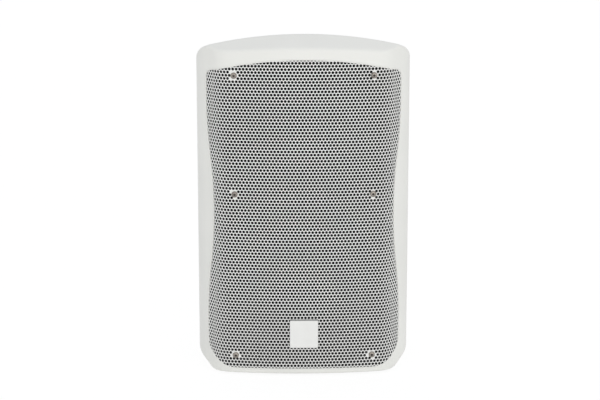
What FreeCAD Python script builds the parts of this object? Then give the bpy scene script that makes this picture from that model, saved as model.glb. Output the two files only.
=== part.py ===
import FreeCAD, Part
import math
import os
from types import SimpleNamespace

import Sketcher
from FreeCAD import Placement, Rotation, Vector

# Compact two-way public address loudspeaker: moulded cabinet in two halves, waisted steel grille,
# bass driver, horn, crossover, rear input panel, handle and pole cup.
# Frame: x to the right, y to the rear, z up, origin under the middle of the cabinet. Millimetres and degrees.

SIZES = {
    # cabinet moulding
    "cab_width": 282.0,
    "cab_height": 457.0,
    "cab_depth": 264.0,
    "wall": 4.0,
    "face_radius": 590.0,
    "bow_margin": 43.0,
    "bend_radius": 35.0,
    "flank_angle": 48.0,
    "shoulder_radius": 47.4,
    "taper_angle": 13.0,
    "rear_corner": 14.0,
    "arch_radius": 565.0,
    "arch_corner": 14.0,
    "lower_chamfer": 28.0,
    "chamfer_softening": 14.0,
    "ridge_setback": 33.0,
    "brow_angle": 28.3,
    "fall_angle": 15.0,
    "split_depth": 92.0,
    "gasket_thickness": 1.5,
    "gasket_groove": 1.0,
    # grille
    "sheet_thickness": 1.2,
    "sheet_seat": 0.3,
    "sheet_play": 0.6,
    "bezel_side": 13.3,
    "waist_swing": 8.7,
    "waist_height": 224.0,
    "waist_reach": 150.0,
    "grille_bottom": 10.2,
    "grille_top": 426.7,
    "grille_arch": 480.0,
    "upper_corner": 9.5,
    "lower_corner": 25.0,
    "ledge_width": 8.0,
    "gap_radius": 8.6,
    "gap_pitch": 30.0,
    "gap_land": 4.0,
    "foam_thickness": 4.0,
    "foam_gap": 0.4,
    "foam_play": 0.5,
    "badge_side": 37.6,
    "badge_proud": 4.0,
    "badge_height": 59.2,
    "badge_gap": 0.1,
    # grille screws and their posts
    "grille_screw_inset": 50.0,
    "grille_screw_low": 28.0,
    "grille_screw_mid": 248.4,
    "grille_screw_high": 405.8,
    "post_radius": 4.5,
    "screw_play": 0.1,
    "small_head_radius": 4.1,
    "small_head_height": 2.4,
    "small_shank_radius": 2.0,
    "grille_screw_length": 16.0,
    # baffle panel
    "panel_depth": 40.0,
    "panel_thickness": 6.0,
    # bass driver
    "woofer_height": 140.0,
    "woofer_margin": 38.0,
    "flange_thickness": 4.0,
    "flange_rim": 12.0,
    "basket_play": 0.5,
    "basket_wall": 3.0,
    "basket_depth": 50.0,
    "landing_radius": 54.0,
    "landing_width": 10.0,
    "landing_step": 6.0,
    "rear_ring_bore": 24.0,
    "window_inner": 60.0,
    "window_rim": 9.0,
    "window_angle": 40.0,
    "window_count": 6,
    "driver_gasket_width": 7.4,
    "driver_gasket_thickness": 3.5,
    "woofer_screw_inset": 4.4,
    "woofer_screw_count": 8,
    "woofer_screw_length": 12.0,
    "cone_margin": 13.0,
    "cone_rim": 4.0,
    "cone_thickness": 1.2,
    "cone_depth": 29.5,
    "cone_gap": 0.3,
    "roll_radius": 4.8,
    "roll_thickness": 1.0,
    "roll_lip": 6.5,
    "roll_drop": 3.5,
    "cap_radius": 24.0,
    "cap_height": 9.0,
    "cap_thickness": 0.8,
    "cap_gap": 0.3,
    "former_radius": 19.4,
    "former_wall": 0.6,
    "former_overlap": 3.0,
    "winding_thickness": 0.8,
    "winding_length": 13.0,
    "coil_gap": 0.5,
    "glue_gap": 0.3,
    "spider_thickness": 0.8,
    "spider_rise": 5.0,
    "top_plate_radius": 50.0,
    "top_plate_thickness": 7.0,
    "magnet_radius": 54.0,
    "magnet_bore": 27.0,
    "magnet_thickness": 18.0,
    "yoke_thickness": 7.0,
    # horn and compression driver
    "horn_height": 332.0,
    "horn_margin": 41.0,
    "horn_flange_height": 114.0,
    "horn_flange_corner": 10.0,
    "horn_lip": 12.0,
    "horn_mouth_height": 90.0,
    "horn_mouth_corner": 16.0,
    "horn_neck_width": 78.0,
    "horn_neck_height": 58.0,
    "horn_neck_corner": 24.0,
    "horn_depth": 76.0,
    "horn_neck_depth": 38.0,
    "horn_wall": 3.0,
    "horn_play": 1.0,
    "throat_radius": 12.7,
    "horn_pad_radius": 42.0,
    "horn_pad_thickness": 5.0,
    "horn_screw_inset": 6.0,
    "horn_screw_z": 51.2,
    "horn_screw_length": 9.0,
    "pole_plate_thickness": 12.0,
    "tweeter_magnet_radius": 46.0,
    "tweeter_magnet_bore": 27.0,
    "tweeter_magnet_thickness": 16.0,
    "tweeter_plate_radius": 42.0,
    "tweeter_plate_thickness": 6.0,
    "tweeter_core_radius": 21.6,
    "dome_radius": 22.4,
    "dome_height": 7.0,
    "dome_thickness": 0.4,
    "dome_skirt": 6.0,
    "dome_gap": 0.6,
    "clamp_radius": 36.0,
    "clamp_thickness": 4.0,
    "rear_cap_depth": 18.0,
    "rear_cap_wall": 3.0,
    "bolt_circle": 38.1,
    "bolt_radius": 2.4,
    "bolt_head_radius": 4.4,
    "bolt_head_height": 3.2,
    # reflex ports
    "port_x": 58.0,
    "port_height": 253.0,
    "port_radius": 14.0,
    "port_wall": 2.0,
    "port_length": 88.0,
    "port_lip": 3.0,
    "port_lip_thickness": 2.0,
    "port_play": 0.2,
    # shell columns and screws
    "column_radius": 5.5,
    "column_rib": 4.0,
    "column_depth": 70.0,
    "column_top_inset": 33.0,
    "column_top_z": 385.0,
    "column_mid_inset": 43.0,
    "column_mid_z": 226.0,
    "column_low_inset": 37.0,
    "column_low_z": 58.0,
    "shell_screw_length": 30.0,
    # rear input panel
    "input_height": 112.0,
    "input_width": 150.0,
    "input_tall": 92.0,
    "input_corner": 8.0,
    "input_plate": 2.0,
    "input_gasket": 1.0,
    "input_recess": 7.0,
    "input_border": 12.0,
    "input_play": 0.5,
    "pad_margin": 6.0,
    "pad_thickness": 12.0,
    "input_screw_inset": 6.0,
    "panel_screw_length": 7.0,
    "socket_x": 30.0,
    "socket_side": 28.0,
    "socket_corner": 4.0,
    "socket_flange_thickness": 2.0,
    "socket_radius": 12.0,
    "socket_bore": 10.6,
    "socket_core": 5.0,
    "socket_depth": 20.0,
    "socket_floor": 2.5,
    "socket_play": 0.2,
    "socket_screw_offset": 10.8,
    "tiny_head_radius": 2.6,
    "tiny_head_height": 1.6,
    "tiny_shank_radius": 1.4,
    "tiny_length": 6.0,
    "board_width": 118.0,
    "board_tall": 62.0,
    "board_thickness": 1.6,
    "spacer_length": 26.0,
    "spacer_radius": 3.0,
    "spacer_inset": 5.0,
    "choke_radius": 14.0,
    "choke_length": 16.0,
    "choke_bore": 4.0,
    "choke_cheek": 1.5,
    "choke_x": 36.0,
    "choke_z": 12.0,
    "can_radius": 7.0,
    "can_length": 24.0,
    "can_soft": 1.0,
    "can_x": 10.0,
    "can_z": 18.0,
    "resistor_width": 22.0,
    "resistor_side": 8.0,
    "resistor_z": 20.0,
    # recessed handle
    "handle_height": 300.0,
    "handle_width": 146.0,
    "handle_tall": 84.0,
    "handle_corner": 14.0,
    "handle_border": 10.0,
    "handle_depth": 52.0,
    "handle_wall": 3.0,
    "handle_flange": 3.0,
    "handle_sink": 2.0,
    "handle_pad": 8.0,
    "grip_tall": 20.0,
    "grip_thick": 18.0,
    "grip_soft": 6.0,
    "grip_lift": 6.0,
    "grip_inset": 2.0,
    "handle_screw_inset": 5.0,
    # rigging inserts
    "insert_x": 60.0,
    "insert_height": 208.0,
    "insert_radius": 6.5,
    "insert_bore": 3.4,
    "insert_length": 20.0,
    "insert_thread": 16.0,
    "boss_wall": 4.0,
    # pole cup
    "pole_setback": 12.0,
    "pole_radius": 18.0,
    "pole_wall": 3.0,
    "pole_depth": 60.0,
    "pole_flange": 33.0,
    "pole_flange_thickness": 3.0,
    "pole_pad": 9.0,
    "pole_play": 0.3,
    "pole_screw_circle": 27.0,
    # feet
    "foot_height": 3.0,
    "foot_radius": 10.0,
    "foot_seat": 1.5,
    "foot_play": 0.3,
    "front_foot_inset": 49.0,
    "front_foot_y": 72.0,
    "rear_foot_inset": 69.0,
    "rear_foot_y": 100.0,
    # wadding
    "wadding_width": 90.0,
    "wadding_tall": 60.0,
    "wadding_thickness": 18.0,
    "wadding_height": 208.0,
    "wadding_gap": 0.3,
    # room that cutting tools keep beyond the cabinet
    "overrun": 20.0,
}

doc = FreeCAD.newDocument("loudspeaker")
sheet = doc.addObject("Spreadsheet::Sheet", "Sizes")
for row, (name, value) in enumerate(SIZES.items(), start=1):
    sheet.set("A%d" % row, name)
    sheet.set("B%d" % row, str(value))
    sheet.setAlias("B%d" % row, name)
doc.recompute()


class Size:
    """A size that knows its value and the sheet expression that yields it."""

    def __init__(self, value, text):
        self.value = value
        self.text = text

    def __add__(self, other):
        other = sized(other)
        return Size(self.value + other.value, "(%s + %s)" % (self.text, other.text))

    def __sub__(self, other):
        other = sized(other)
        return Size(self.value - other.value, "(%s - %s)" % (self.text, other.text))

    def __mul__(self, other):
        other = sized(other)
        return Size(self.value * other.value, "(%s * %s)" % (self.text, other.text))

    def __truediv__(self, other):
        other = sized(other)
        return Size(self.value / other.value, "(%s / %s)" % (self.text, other.text))

    def __neg__(self):
        return Size(-self.value, "(0 - %s)" % self.text)

    def __radd__(self, other):
        return sized(other) + self

    def __rsub__(self, other):
        return sized(other) - self

    def __rmul__(self, other):
        return sized(other) * self

    def __rtruediv__(self, other):
        return sized(other) / self


def sized(number):
    return number if isinstance(number, Size) else Size(float(number), repr(number))


def sin(angle):
    angle = sized(angle)
    return Size(math.sin(math.radians(angle.value)), "sin(%s)" % angle.text)


def cos(angle):
    angle = sized(angle)
    return Size(math.cos(math.radians(angle.value)), "cos(%s)" % angle.text)


def tan(angle):
    angle = sized(angle)
    return Size(math.tan(math.radians(angle.value)), "tan(%s)" % angle.text)


def root(number):
    return Size(math.sqrt(number.value), "sqrt(%s)" % number.text)


d = SimpleNamespace(**{name: Size(float(sheet.get(name)), "Sizes." + name) for name in SIZES})

# Widths that follow the cabinet's width
half_width = d.cab_width / 2
d.bow_sin = (half_width - d.bow_margin) / d.face_radius
d.bow_cos = root(1 - d.bow_sin * d.bow_sin)
d.grille_half = half_width - d.bezel_side
d.waist_half = d.grille_half - d.waist_swing
d.grille_screw_x = half_width - d.grille_screw_inset
d.flange_radius = half_width - d.woofer_margin
d.basket_radius = d.flange_radius - d.flange_rim
d.window_outer = d.basket_radius - d.window_rim
d.woofer_screw_circle = d.flange_radius - d.woofer_screw_inset
d.cone_radius = d.basket_radius - d.cone_margin
d.horn_flange_width = d.cab_width - 2 * d.horn_margin
d.horn_mouth_width = d.horn_flange_width - 2 * d.horn_lip
d.horn_screw_x = d.horn_flange_width / 2 - d.horn_screw_inset
d.column_top_x = half_width - d.column_top_inset
d.column_mid_x = half_width - d.column_mid_inset
d.column_low_x = half_width - d.column_low_inset
d.front_foot_x = half_width - d.front_foot_inset
d.rear_foot_x = half_width - d.rear_foot_inset

# Planes shared by many pieces
FACE_Y = -d.cab_depth / 2 + d.badge_proud
PANEL_FRONT = -d.cab_depth / 2 + d.panel_depth
PANEL_BACK = PANEL_FRONT + d.panel_thickness
REAR_Y = d.cab_depth / 2
SPLIT_Y = -d.cab_depth / 2 + d.split_depth
BELLY_Z = d.foot_height

FREE_PLANES = {
    "XY": Rotation(),
    "XZ": Rotation(Vector(1, 0, 0), 90),
    "YZ": Rotation(Vector(1, 1, 1), 120),
}


def free_sketch(name, plane):
    sketch = doc.addObject("Sketcher::SketchObject", name)
    sketch.Placement = Placement(Vector(), FREE_PLANES[plane])
    return sketch


def body_sketch(body, plane, name, lift=None):
    """Sketch on one of the body's own origin planes, lifted along that plane's normal."""
    sketch = body.newObject("Sketcher::SketchObject", body.Name + "_" + name)
    role = plane + "_Plane"
    support = [item for item in body.Origin.OriginFeatures if item.Role == role][0]
    sketch.AttachmentSupport = [(support, "")]
    sketch.MapMode = "FlatFace"
    if lift is not None:
        sketch.setExpression(".AttachmentOffset.Base.z", lift.text)
    return sketch


def pin(sketch, kind, value, *where):
    """Add one driving constraint and bind it to its size."""
    value = sized(value)
    constraint = Sketcher.Constraint(kind, *where, value.value)
    constraint.Name = "%s_%d" % (kind.lower(), sketch.ConstraintCount)
    sketch.addConstraint(constraint)
    sketch.setExpression("Constraints." + constraint.Name, value.text)


def draw(sketch, *corners):
    """Close a loop through corners (x, y) or (x, y, bend). A bend is the radius of the stretch that
    ends at its corner, positive where that stretch turns left and negative where it turns right."""
    spots = [(sized(corner[0]), sized(corner[1])) for corner in corners]
    bends = [sized(corner[2]) if len(corner) == 3 else None for corner in corners]
    stretches = []
    for index, (x, y) in enumerate(spots):
        after = (index + 1) % len(spots)
        begin = Vector(x.value, y.value, 0)
        end = Vector(spots[after][0].value, spots[after][1].value, 0)
        bend = bends[after]
        if bend is None:
            edge = sketch.addGeometry(Part.LineSegment(begin, end))
            stretches.append((edge, 1, 2))
            continue
        chord = end - begin
        left = Vector(-chord.y, chord.x, 0).normalize()
        turn = 1 if bend.value > 0 else -1
        rise = math.sqrt(max(bend.value ** 2 - chord.Length ** 2 / 4, 0.0))
        centre = (begin + end) * 0.5 + left * (rise * turn)
        first = math.atan2(begin.y - centre.y, begin.x - centre.x)
        last = math.atan2(end.y - centre.y, end.x - centre.x)
        circle = Part.Circle(centre, Vector(0, 0, 1), abs(bend.value))
        if turn > 0:
            edge = sketch.addGeometry(Part.ArcOfCircle(circle, first, last))
            stretches.append((edge, 1, 2))
        else:
            edge = sketch.addGeometry(Part.ArcOfCircle(circle, last, first))
            stretches.append((edge, 2, 1))
    for index, (edge, begin, end) in enumerate(stretches):
        after = (index + 1) % len(stretches)
        sketch.addConstraint(Sketcher.Constraint("Coincident", edge, end, *stretches[after][:2]))
        pin(sketch, "DistanceX", spots[index][0], -1, 1, edge, begin)
        pin(sketch, "DistanceY", spots[index][1], -1, 1, edge, begin)
        bend = bends[after]
        if bend is not None:
            pin(sketch, "Radius", bend if bend.value > 0 else -bend, edge)


def ring(sketch, x, y, radius):
    x, y, radius = sized(x), sized(y), sized(radius)
    circle = Part.Circle(Vector(x.value, y.value, 0), Vector(0, 0, 1), radius.value)
    edge = sketch.addGeometry(circle)
    pin(sketch, "DistanceX", x, -1, 1, edge, 3)
    pin(sketch, "DistanceY", y, -1, 1, edge, 3)
    pin(sketch, "Radius", radius, edge)


def round_box(sketch, x, y, width, height, corner):
    """Rectangle about (x, y) with rounded corners."""
    left, right = x - width / 2, x + width / 2
    low, high = y - height / 2, y + height / 2
    draw(
        sketch,
        (left + corner, low, corner),
        (right - corner, low),
        (right, low + corner, corner),
        (right, high - corner),
        (right - corner, high, corner),
        (left + corner, high),
        (left, high - corner, corner),
        (left, low + corner),
    )


def place(thing, x=None, y=None, z=None):
    """Bind the placement of a piece to sizes."""
    for axis, value in (("x", x), ("y", y), ("z", z)):
        if value is not None:
            thing.setExpression(".Placement.Base." + axis, sized(value).text)


def new_body(label):
    body = doc.addObject("PartDesign::Body", label)
    body.Label = label
    return body


def turned(label, *corners, plane="XY", x=None, y=None, z=None):
    """Body of revolution about the upright axis of its sketch: y on plane XY, z on plane XZ."""
    body = new_body(label)
    profile = body_sketch(body, plane, "profile")
    draw(profile, *corners)
    turn = body.newObject("PartDesign::Revolution", label + "_turn")
    turn.Profile = profile
    turn.ReferenceAxis = (profile, ["V_Axis"])
    turn.Angle = 360.0
    body.Tip = turn
    place(body, x, y, z)
    return body


def pad_y(body, name, start, length):
    """Sketch across y at start, and a pad of the given length towards the rear."""
    profile = body_sketch(body, "XZ", name, -sized(start))
    pad = body.newObject("PartDesign::Pad", body.Name + "_" + name + "_pad")
    pad.Profile = profile
    pad.Reversed = True
    pad.setExpression("Length", sized(length).text)
    body.Tip = pad
    return profile


def cut_y(body, name, start, length):
    """Sketch across y at start, and a pocket of the given length towards the rear."""
    profile = body_sketch(body, "XZ", name, -sized(start))
    pocket = body.newObject("PartDesign::Pocket", body.Name + "_" + name + "_cut")
    pocket.Profile = profile
    pocket.Reversed = False
    pocket.setExpression("Length", sized(length).text)
    body.Tip = pocket
    return profile


def drawn_out(name, sketch, forward, backward=0):
    """Solid made by drawing a free sketch out along its normal, both ways."""
    solid = doc.addObject("Part::Extrusion", name)
    solid.Base = sketch
    solid.DirMode = "Normal"
    solid.Solid = True
    solid.setExpression("LengthFwd", sized(forward).text)
    solid.setExpression("LengthRev", sized(backward).text)
    return solid


def common(name, *things):
    solid = doc.addObject("Part::MultiCommon", name)
    solid.Shapes = list(things)
    return solid


def fused(name, *things):
    solid = doc.addObject("Part::MultiFuse", name)
    solid.Shapes = list(things)
    return solid


def cut(name, base, tool):
    solid = doc.addObject("Part::Cut", name)
    solid.Base = base
    solid.Tool = tool
    return solid


def box(name, x, y, z, low_x, low_y, low_z):
    solid = doc.addObject("Part::Box", name)
    solid.setExpression("Length", sized(x).text)
    solid.setExpression("Width", sized(y).text)
    solid.setExpression("Height", sized(z).text)
    place(solid, low_x, low_y, low_z)
    return solid


def rod_y(name, radius, x, y, z, length):
    """Cylinder that runs from y towards the rear."""
    solid = doc.addObject("Part::Cylinder", name)
    solid.Placement = Placement(Vector(), Rotation(Vector(1, 0, 0), -90))
    solid.setExpression("Radius", sized(radius).text)
    solid.setExpression("Height", sized(length).text)
    place(solid, x, y, z)
    return solid


def rod_z(name, radius, x, y, z, length):
    """Cylinder that runs up from z."""
    solid = doc.addObject("Part::Cylinder", name)
    solid.setExpression("Radius", sized(radius).text)
    solid.setExpression("Height", sized(length).text)
    place(solid, x, y, z)
    return solid


def group(label, one, places):
    """Node of separate copies of one piece, each at its own placement."""
    doc.recompute()
    node = doc.addObject("Part::Feature", label)
    copies = []
    for where in places:
        copy = one.Shape.copy()
        copy.Placement = where.multiply(one.Placement)
        copies.append(copy)
    node.Shape = Part.makeCompound(copies)
    node.Label = label
    return node


def at(x, y, z, rotation=None):
    spot = Vector(sized(x).value, sized(y).value, sized(z).value)
    return Placement(spot, rotation or Rotation())


def screw(name, head_radius, head_height, shank_radius, length):
    """Pan-head screw along y: the head's seat is at y 0, the shank runs to the rear."""
    shoulder = head_radius - head_height / 2
    return turned(
        name,
        (0, -head_height),
        (shoulder, -head_height),
        (head_radius, -head_height / 2, head_height / 2),
        (head_radius, 0),
        (shank_radius, 0),
        (shank_radius, length),
        (0, length),
    )


# The cabinet's outer form is what its outlines have in common: plan, front, brow and top

def plan_solid(name, inset):
    """Plan: bowed face, raked flanks, round shoulders, tapered sides and a flat rear."""
    rake, taper = d.flank_angle, d.taper_angle
    face, bend = d.face_radius - inset, d.bend_radius - inset
    shoulder, corner = d.shoulder_radius - inset, d.rear_corner - inset
    half, rear = d.cab_width / 2 - inset, REAR_Y - inset
    bow_x = face * d.bow_sin
    bow_y = FACE_Y + inset + face * (1 - d.bow_cos)
    bend_x = bow_x + bend * (sin(rake) - d.bow_sin)
    bend_y = bow_y + bend * (d.bow_cos - cos(rake))
    flank_x = half - shoulder * (1 - sin(rake))
    flank_y = bend_y + (flank_x - bend_x) * tan(rake)
    side_x = half - shoulder * (1 - cos(taper))
    side_y = flank_y + shoulder * (cos(rake) + sin(taper))
    turn_x = side_x - (rear - corner - side_y) * tan(taper) - corner / cos(taper)
    tail_x = turn_x + corner * cos(taper)
    tail_y = rear - corner + corner * sin(taper)
    sketch = free_sketch(name + "_sketch", "XY")
    draw(
        sketch,
        (-bow_x, bow_y, bend),
        (bow_x, bow_y, face),
        (bend_x, bend_y, bend),
        (flank_x, flank_y),
        (side_x, side_y, shoulder),
        (tail_x, tail_y),
        (turn_x, rear, corner),
        (-turn_x, rear),
        (-tail_x, tail_y, corner),
        (-side_x, side_y),
        (-flank_x, flank_y, shoulder),
        (-bend_x, bend_y),
    )
    return drawn_out(name, sketch, d.cab_height + d.overrun, d.overrun)


def front_solid(name, inset):
    """Front: upright sides and softened chamfers at the lower corners."""
    half, belly = d.cab_width / 2 - inset, BELLY_Z + inset
    leg = d.lower_chamfer - inset * (2 - root(sized(2)))
    soft = d.chamfer_softening - inset
    reach = soft * tan(22.5)
    slant = reach * cos(45)
    toe = half - leg
    above = d.cab_height + d.overrun
    sketch = free_sketch(name + "_sketch", "XZ")
    draw(
        sketch,
        (-toe + reach, belly, soft),
        (toe - reach, belly),
        (toe + slant, belly + slant, soft),
        (half - slant, belly + leg - slant),
        (half, belly + leg + reach, soft),
        (half, above),
        (-half, above),
        (-half, belly + leg + reach),
        (-half + slant, belly + leg - slant, soft),
        (-toe - slant, belly + slant),
    )
    beyond = d.cab_depth / 2 + d.overrun
    return drawn_out(name, sketch, beyond, beyond)


def leaning_solid(name, inset, lean, way):
    """Arched outline at the ridge, drawn out along a line that leans down by lean: way -1 makes the
    brow, which falls to the front, and way 1 the top, which falls to the rear."""
    half = d.cab_width / 2 - inset
    arch, corner = d.arch_radius - inset, d.arch_corner - inset
    arch_z = d.cab_height - d.arch_radius + inset - inset / cos(lean)
    corner_x = d.cab_width / 2 - d.arch_corner
    between = d.arch_radius - d.arch_corner
    corner_rise = root(between * between - corner_x * corner_x)
    spring_x = corner_x * arch / between
    spring_z = arch_z + corner_rise * arch / between
    below = -d.cab_depth - d.overrun
    sketch = free_sketch(name + "_sketch", "XZ")
    draw(
        sketch,
        (-half, below),
        (half, below),
        (half, arch_z + corner_rise),
        (spring_x, spring_z, corner),
        (-spring_x, spring_z, arch),
        (-half, arch_z + corner_rise, corner),
    )
    place(sketch, y=-d.cab_depth / 2 + d.ridge_setback)
    length = (d.cab_depth + d.overrun) / cos(lean)
    solid = drawn_out(name, sketch, length, length)
    solid.DirMode = "Custom"
    solid.setExpression("Dir.x", "0")
    solid.setExpression("Dir.y", (way * cos(lean)).text)
    solid.setExpression("Dir.z", (-sin(lean)).text)
    return solid


def cabinet_solid(name, inset):
    """What plan, front, brow and top have in common."""
    return common(
        name,
        plan_solid(name + "_plan", inset),
        front_solid(name + "_front", inset),
        leaning_solid(name + "_brow", inset, d.brow_angle, -1),
        leaning_solid(name + "_top", inset, d.fall_angle, 1),
    )


def waisted_solid(name, outset, rear_y):
    """Waisted outline of the grille, grown by outset, from in front of the cabinet to rear_y."""
    half, low = d.grille_half + outset, d.grille_bottom - outset
    heel = d.lower_corner + outset
    swing = d.grille_half - d.waist_half
    sweep = (d.waist_reach * d.waist_reach + swing * swing) / (4 * swing)
    lean_sin = d.waist_reach / (2 * sweep)
    lean_cos = 1 - swing / (2 * sweep)
    mid_x = d.waist_half + swing / 2 + outset * lean_cos
    mid_rise = d.waist_reach / 2 - outset * lean_sin
    arch, corner = d.grille_arch + outset, d.upper_corner + outset
    arch_z = d.grille_top - d.grille_arch
    corner_x = d.grille_half - d.upper_corner
    between = d.grille_arch - d.upper_corner
    corner_z = arch_z + root(between * between - corner_x * corner_x)
    spring_x = corner_x * arch / between
    spring_z = arch_z + (corner_z - arch_z) * arch / between
    waist = d.waist_height
    sketch = free_sketch(name + "_sketch", "XZ")
    draw(
        sketch,
        (-half + heel, low, heel),
        (half - heel, low),
        (half, low + heel, heel),
        (half, waist - d.waist_reach),
        (mid_x, waist - mid_rise, sweep + outset),
        (mid_x, waist + mid_rise, -(sweep - outset)),
        (half, waist + d.waist_reach, sweep + outset),
        (half, corner_z),
        (spring_x, spring_z, corner),
        (-spring_x, spring_z, arch),
        (-half, corner_z, corner),
        (-half, waist + d.waist_reach),
        (-mid_x, waist + mid_rise, sweep + outset),
        (-mid_x, waist - mid_rise, -(sweep - outset)),
        (-half, waist - d.waist_reach, sweep + outset),
        (-half, low + heel),
    )
    return drawn_out(name, sketch, d.cab_depth / 2 + d.overrun, rear_y)


def face_at(x):
    """Depth of the bowed face at a place across it."""
    return FACE_Y + d.face_radius - root(d.face_radius * d.face_radius - x * x)


nothing = sized(0)
form = cabinet_solid("form", nothing)
hollow = cabinet_solid("hollow", d.wall)
seat_depth = d.sheet_thickness + d.sheet_seat
seat_plan = plan_solid("seat_plan", seat_depth)

# Places shared by holes, posts, columns and screws
both = ((-1, "left"), (1, "right"))
grille_rows = ((d.grille_screw_low, "low"), (d.grille_screw_mid, "mid"), (d.grille_screw_high, "high"))
grille_seat_y = face_at(d.grille_screw_x - d.small_head_radius)
column_spots = (
    (d.column_low_x, d.column_low_z, "low"),
    (d.column_mid_x, d.column_mid_z, "mid"),
    (d.column_top_x, d.column_top_z, "top"),
)
horn_spots = ((1, 1), (1, -1), (-1, 1), (-1, -1), (0, 1), (0, -1))
shank_hole = d.small_shank_radius + d.screw_play
through = d.panel_thickness + d.overrun

# Front baffle: bezel shell, a well with a floor behind the grille, posts for the grille screws
wide_room = d.cab_width + 2 * d.overrun
tall_room = d.cab_height + 2 * d.overrun
front_room = d.split_depth + d.overrun - d.gasket_thickness / 2
front_zone = box(
    "front_zone", wide_room, front_room, tall_room,
    -wide_room / 2, -d.cab_depth / 2 - d.overrun, -d.overrun,
)
bezel = cut("bezel", common("front_form", form, front_zone), hollow)
well = common("well", form, waisted_solid("well_outline", d.wall, PANEL_BACK))
opened = cut("opened", fused("bezel_and_well", bezel, well), waisted_solid("mouth", -d.ledge_width, PANEL_FRONT))
recess = cut("recess", waisted_solid("recess_outline", d.sheet_play, PANEL_FRONT), seat_plan)
ledged = cut("ledged", opened, recess)
posts = []
front_holes = [
    rod_y("woofer_hole", d.basket_radius + d.basket_play, 0, PANEL_FRONT - d.overrun, d.woofer_height, through * 2),
]
for side, hand in both:
    for height, level in grille_rows:
        tag = hand + "_" + level
        x = side * d.grille_screw_x
        posts.append(rod_y("post_" + tag, d.post_radius, x, -d.cab_depth / 2, height, d.panel_depth + d.panel_thickness))
        front_holes.append(
            rod_y("pilot_" + tag, shank_hole, x, grille_seat_y, height, d.grille_screw_length + d.screw_play)
        )
    for x, height, level in column_spots:
        front_holes.append(
            rod_y("shell_hole_%s_%s" % (hand, level), shank_hole, side * x, PANEL_FRONT, height, d.panel_thickness)
        )
    front_holes.append(
        rod_y("port_hole_" + hand, d.port_radius + d.port_wall + d.port_play, side * d.port_x,
              PANEL_FRONT, d.port_height, d.panel_thickness)
    )
    front_holes.append(
        rod_z("front_foot_hole_" + hand, d.foot_radius + d.foot_play, side * d.front_foot_x,
              -d.front_foot_y, BELLY_Z - d.overrun, d.overrun + d.foot_seat)
    )
for index in range(int(d.woofer_screw_count.value)):
    angle = (index + 0.5) * 360 / d.woofer_screw_count
    front_holes.append(
        rod_y("woofer_pilot_%d" % index, shank_hole, d.woofer_screw_circle * cos(angle), PANEL_FRONT,
              d.woofer_height + d.woofer_screw_circle * sin(angle), d.panel_thickness)
    )
for index, (across, up) in enumerate(horn_spots):
    front_holes.append(
        rod_y("horn_pilot_%d" % index, shank_hole, across * d.horn_screw_x, PANEL_FRONT,
              d.horn_height + up * d.horn_screw_z, d.panel_thickness)
    )
horn_room = d.horn_wall + d.horn_play
horn_hole = free_sketch("horn_hole_sketch", "XZ")
round_box(
    horn_hole, nothing, d.horn_height, d.horn_mouth_width + 2 * horn_room,
    d.horn_mouth_height + 2 * horn_room, d.horn_mouth_corner + horn_room,
)
front_holes.append(drawn_out("horn_hole", horn_hole, d.cab_depth / 2, PANEL_BACK))
post_tops = common("post_tops", fused("post_rods", *posts), seat_plan)
front_baffle = cut("front_baffle", fused("posted", ledged, post_tops), fused("front_cuts", *front_holes))

# Rear shell: tapered moulding with pads, bosses, ribbed columns that reach the baffle, and its openings
rear_zone = box(
    "rear_zone", wide_room, d.cab_depth - d.split_depth + d.overrun - d.gasket_thickness / 2, tall_room,
    -wide_room / 2, SPLIT_Y + d.gasket_thickness / 2, -d.overrun,
)
rear_form = common("rear_form", form, rear_zone)
tub = cut("tub", rear_form, hollow)
input_pad_wide = d.input_width + 2 * d.pad_margin
input_pad_tall = d.input_tall + 2 * d.pad_margin
handle_pad_wide = d.handle_width + 2 * d.pad_margin
handle_pad_tall = d.handle_tall + 2 * d.pad_margin
boss_length = d.insert_length + d.boss_wall
inner_parts = [
    box("input_pad", input_pad_wide, d.pad_thickness, input_pad_tall,
        -input_pad_wide / 2, REAR_Y - d.pad_thickness, d.input_height - input_pad_tall / 2),
    box("handle_pad", handle_pad_wide, d.handle_pad, handle_pad_tall,
        -handle_pad_wide / 2, REAR_Y - d.handle_pad, d.handle_height - handle_pad_tall / 2),
    rod_z("pole_pad", d.pole_flange + d.pad_margin, 0, d.pole_setback, BELLY_Z, d.pole_pad),
]
rear_holes = [
    rod_z("pole_recess", d.pole_flange + d.pole_play, 0, d.pole_setback, BELLY_Z - d.overrun,
          d.overrun + d.pole_flange_thickness),
    rod_z("pole_hole", d.pole_radius + d.pole_wall + d.pole_play, 0, d.pole_setback, BELLY_Z, d.pole_depth),
]
column_length = d.column_depth
rib_front = SPLIT_Y + d.gasket_thickness
for side, hand in both:
    for x, height, level in column_spots:
        tag = hand + "_" + level
        inner_parts.append(rod_y("column_" + tag, d.column_radius, side * x, PANEL_BACK, height, column_length))
        rib_reach = d.cab_width / 2 - x
        rib_x = x if side > 0 else -x - rib_reach
        inner_parts.append(
            box("rib_" + tag, rib_reach, PANEL_BACK + column_length - rib_front, d.column_rib,
                rib_x, rib_front, height - d.column_rib / 2)
        )
        rear_holes.append(
            rod_y("column_pilot_" + tag, shank_hole, side * x, PANEL_BACK, height,
                  d.shell_screw_length - d.panel_thickness + d.screw_play)
        )
    inner_parts.append(
        rod_y("boss_" + hand, d.insert_radius + d.boss_wall, side * d.insert_x, REAR_Y - boss_length,
              d.insert_height, boss_length)
    )
    rear_holes.append(
        rod_y("insert_hole_" + hand, d.insert_radius + d.screw_play, side * d.insert_x,
              REAR_Y - d.insert_length, d.insert_height, d.insert_length + d.overrun)
    )
    rear_holes.append(
        rod_z("rear_foot_hole_" + hand, d.foot_radius + d.foot_play, side * d.rear_foot_x, d.rear_foot_y,
              BELLY_Z - d.overrun, d.overrun + d.foot_seat)
    )


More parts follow.
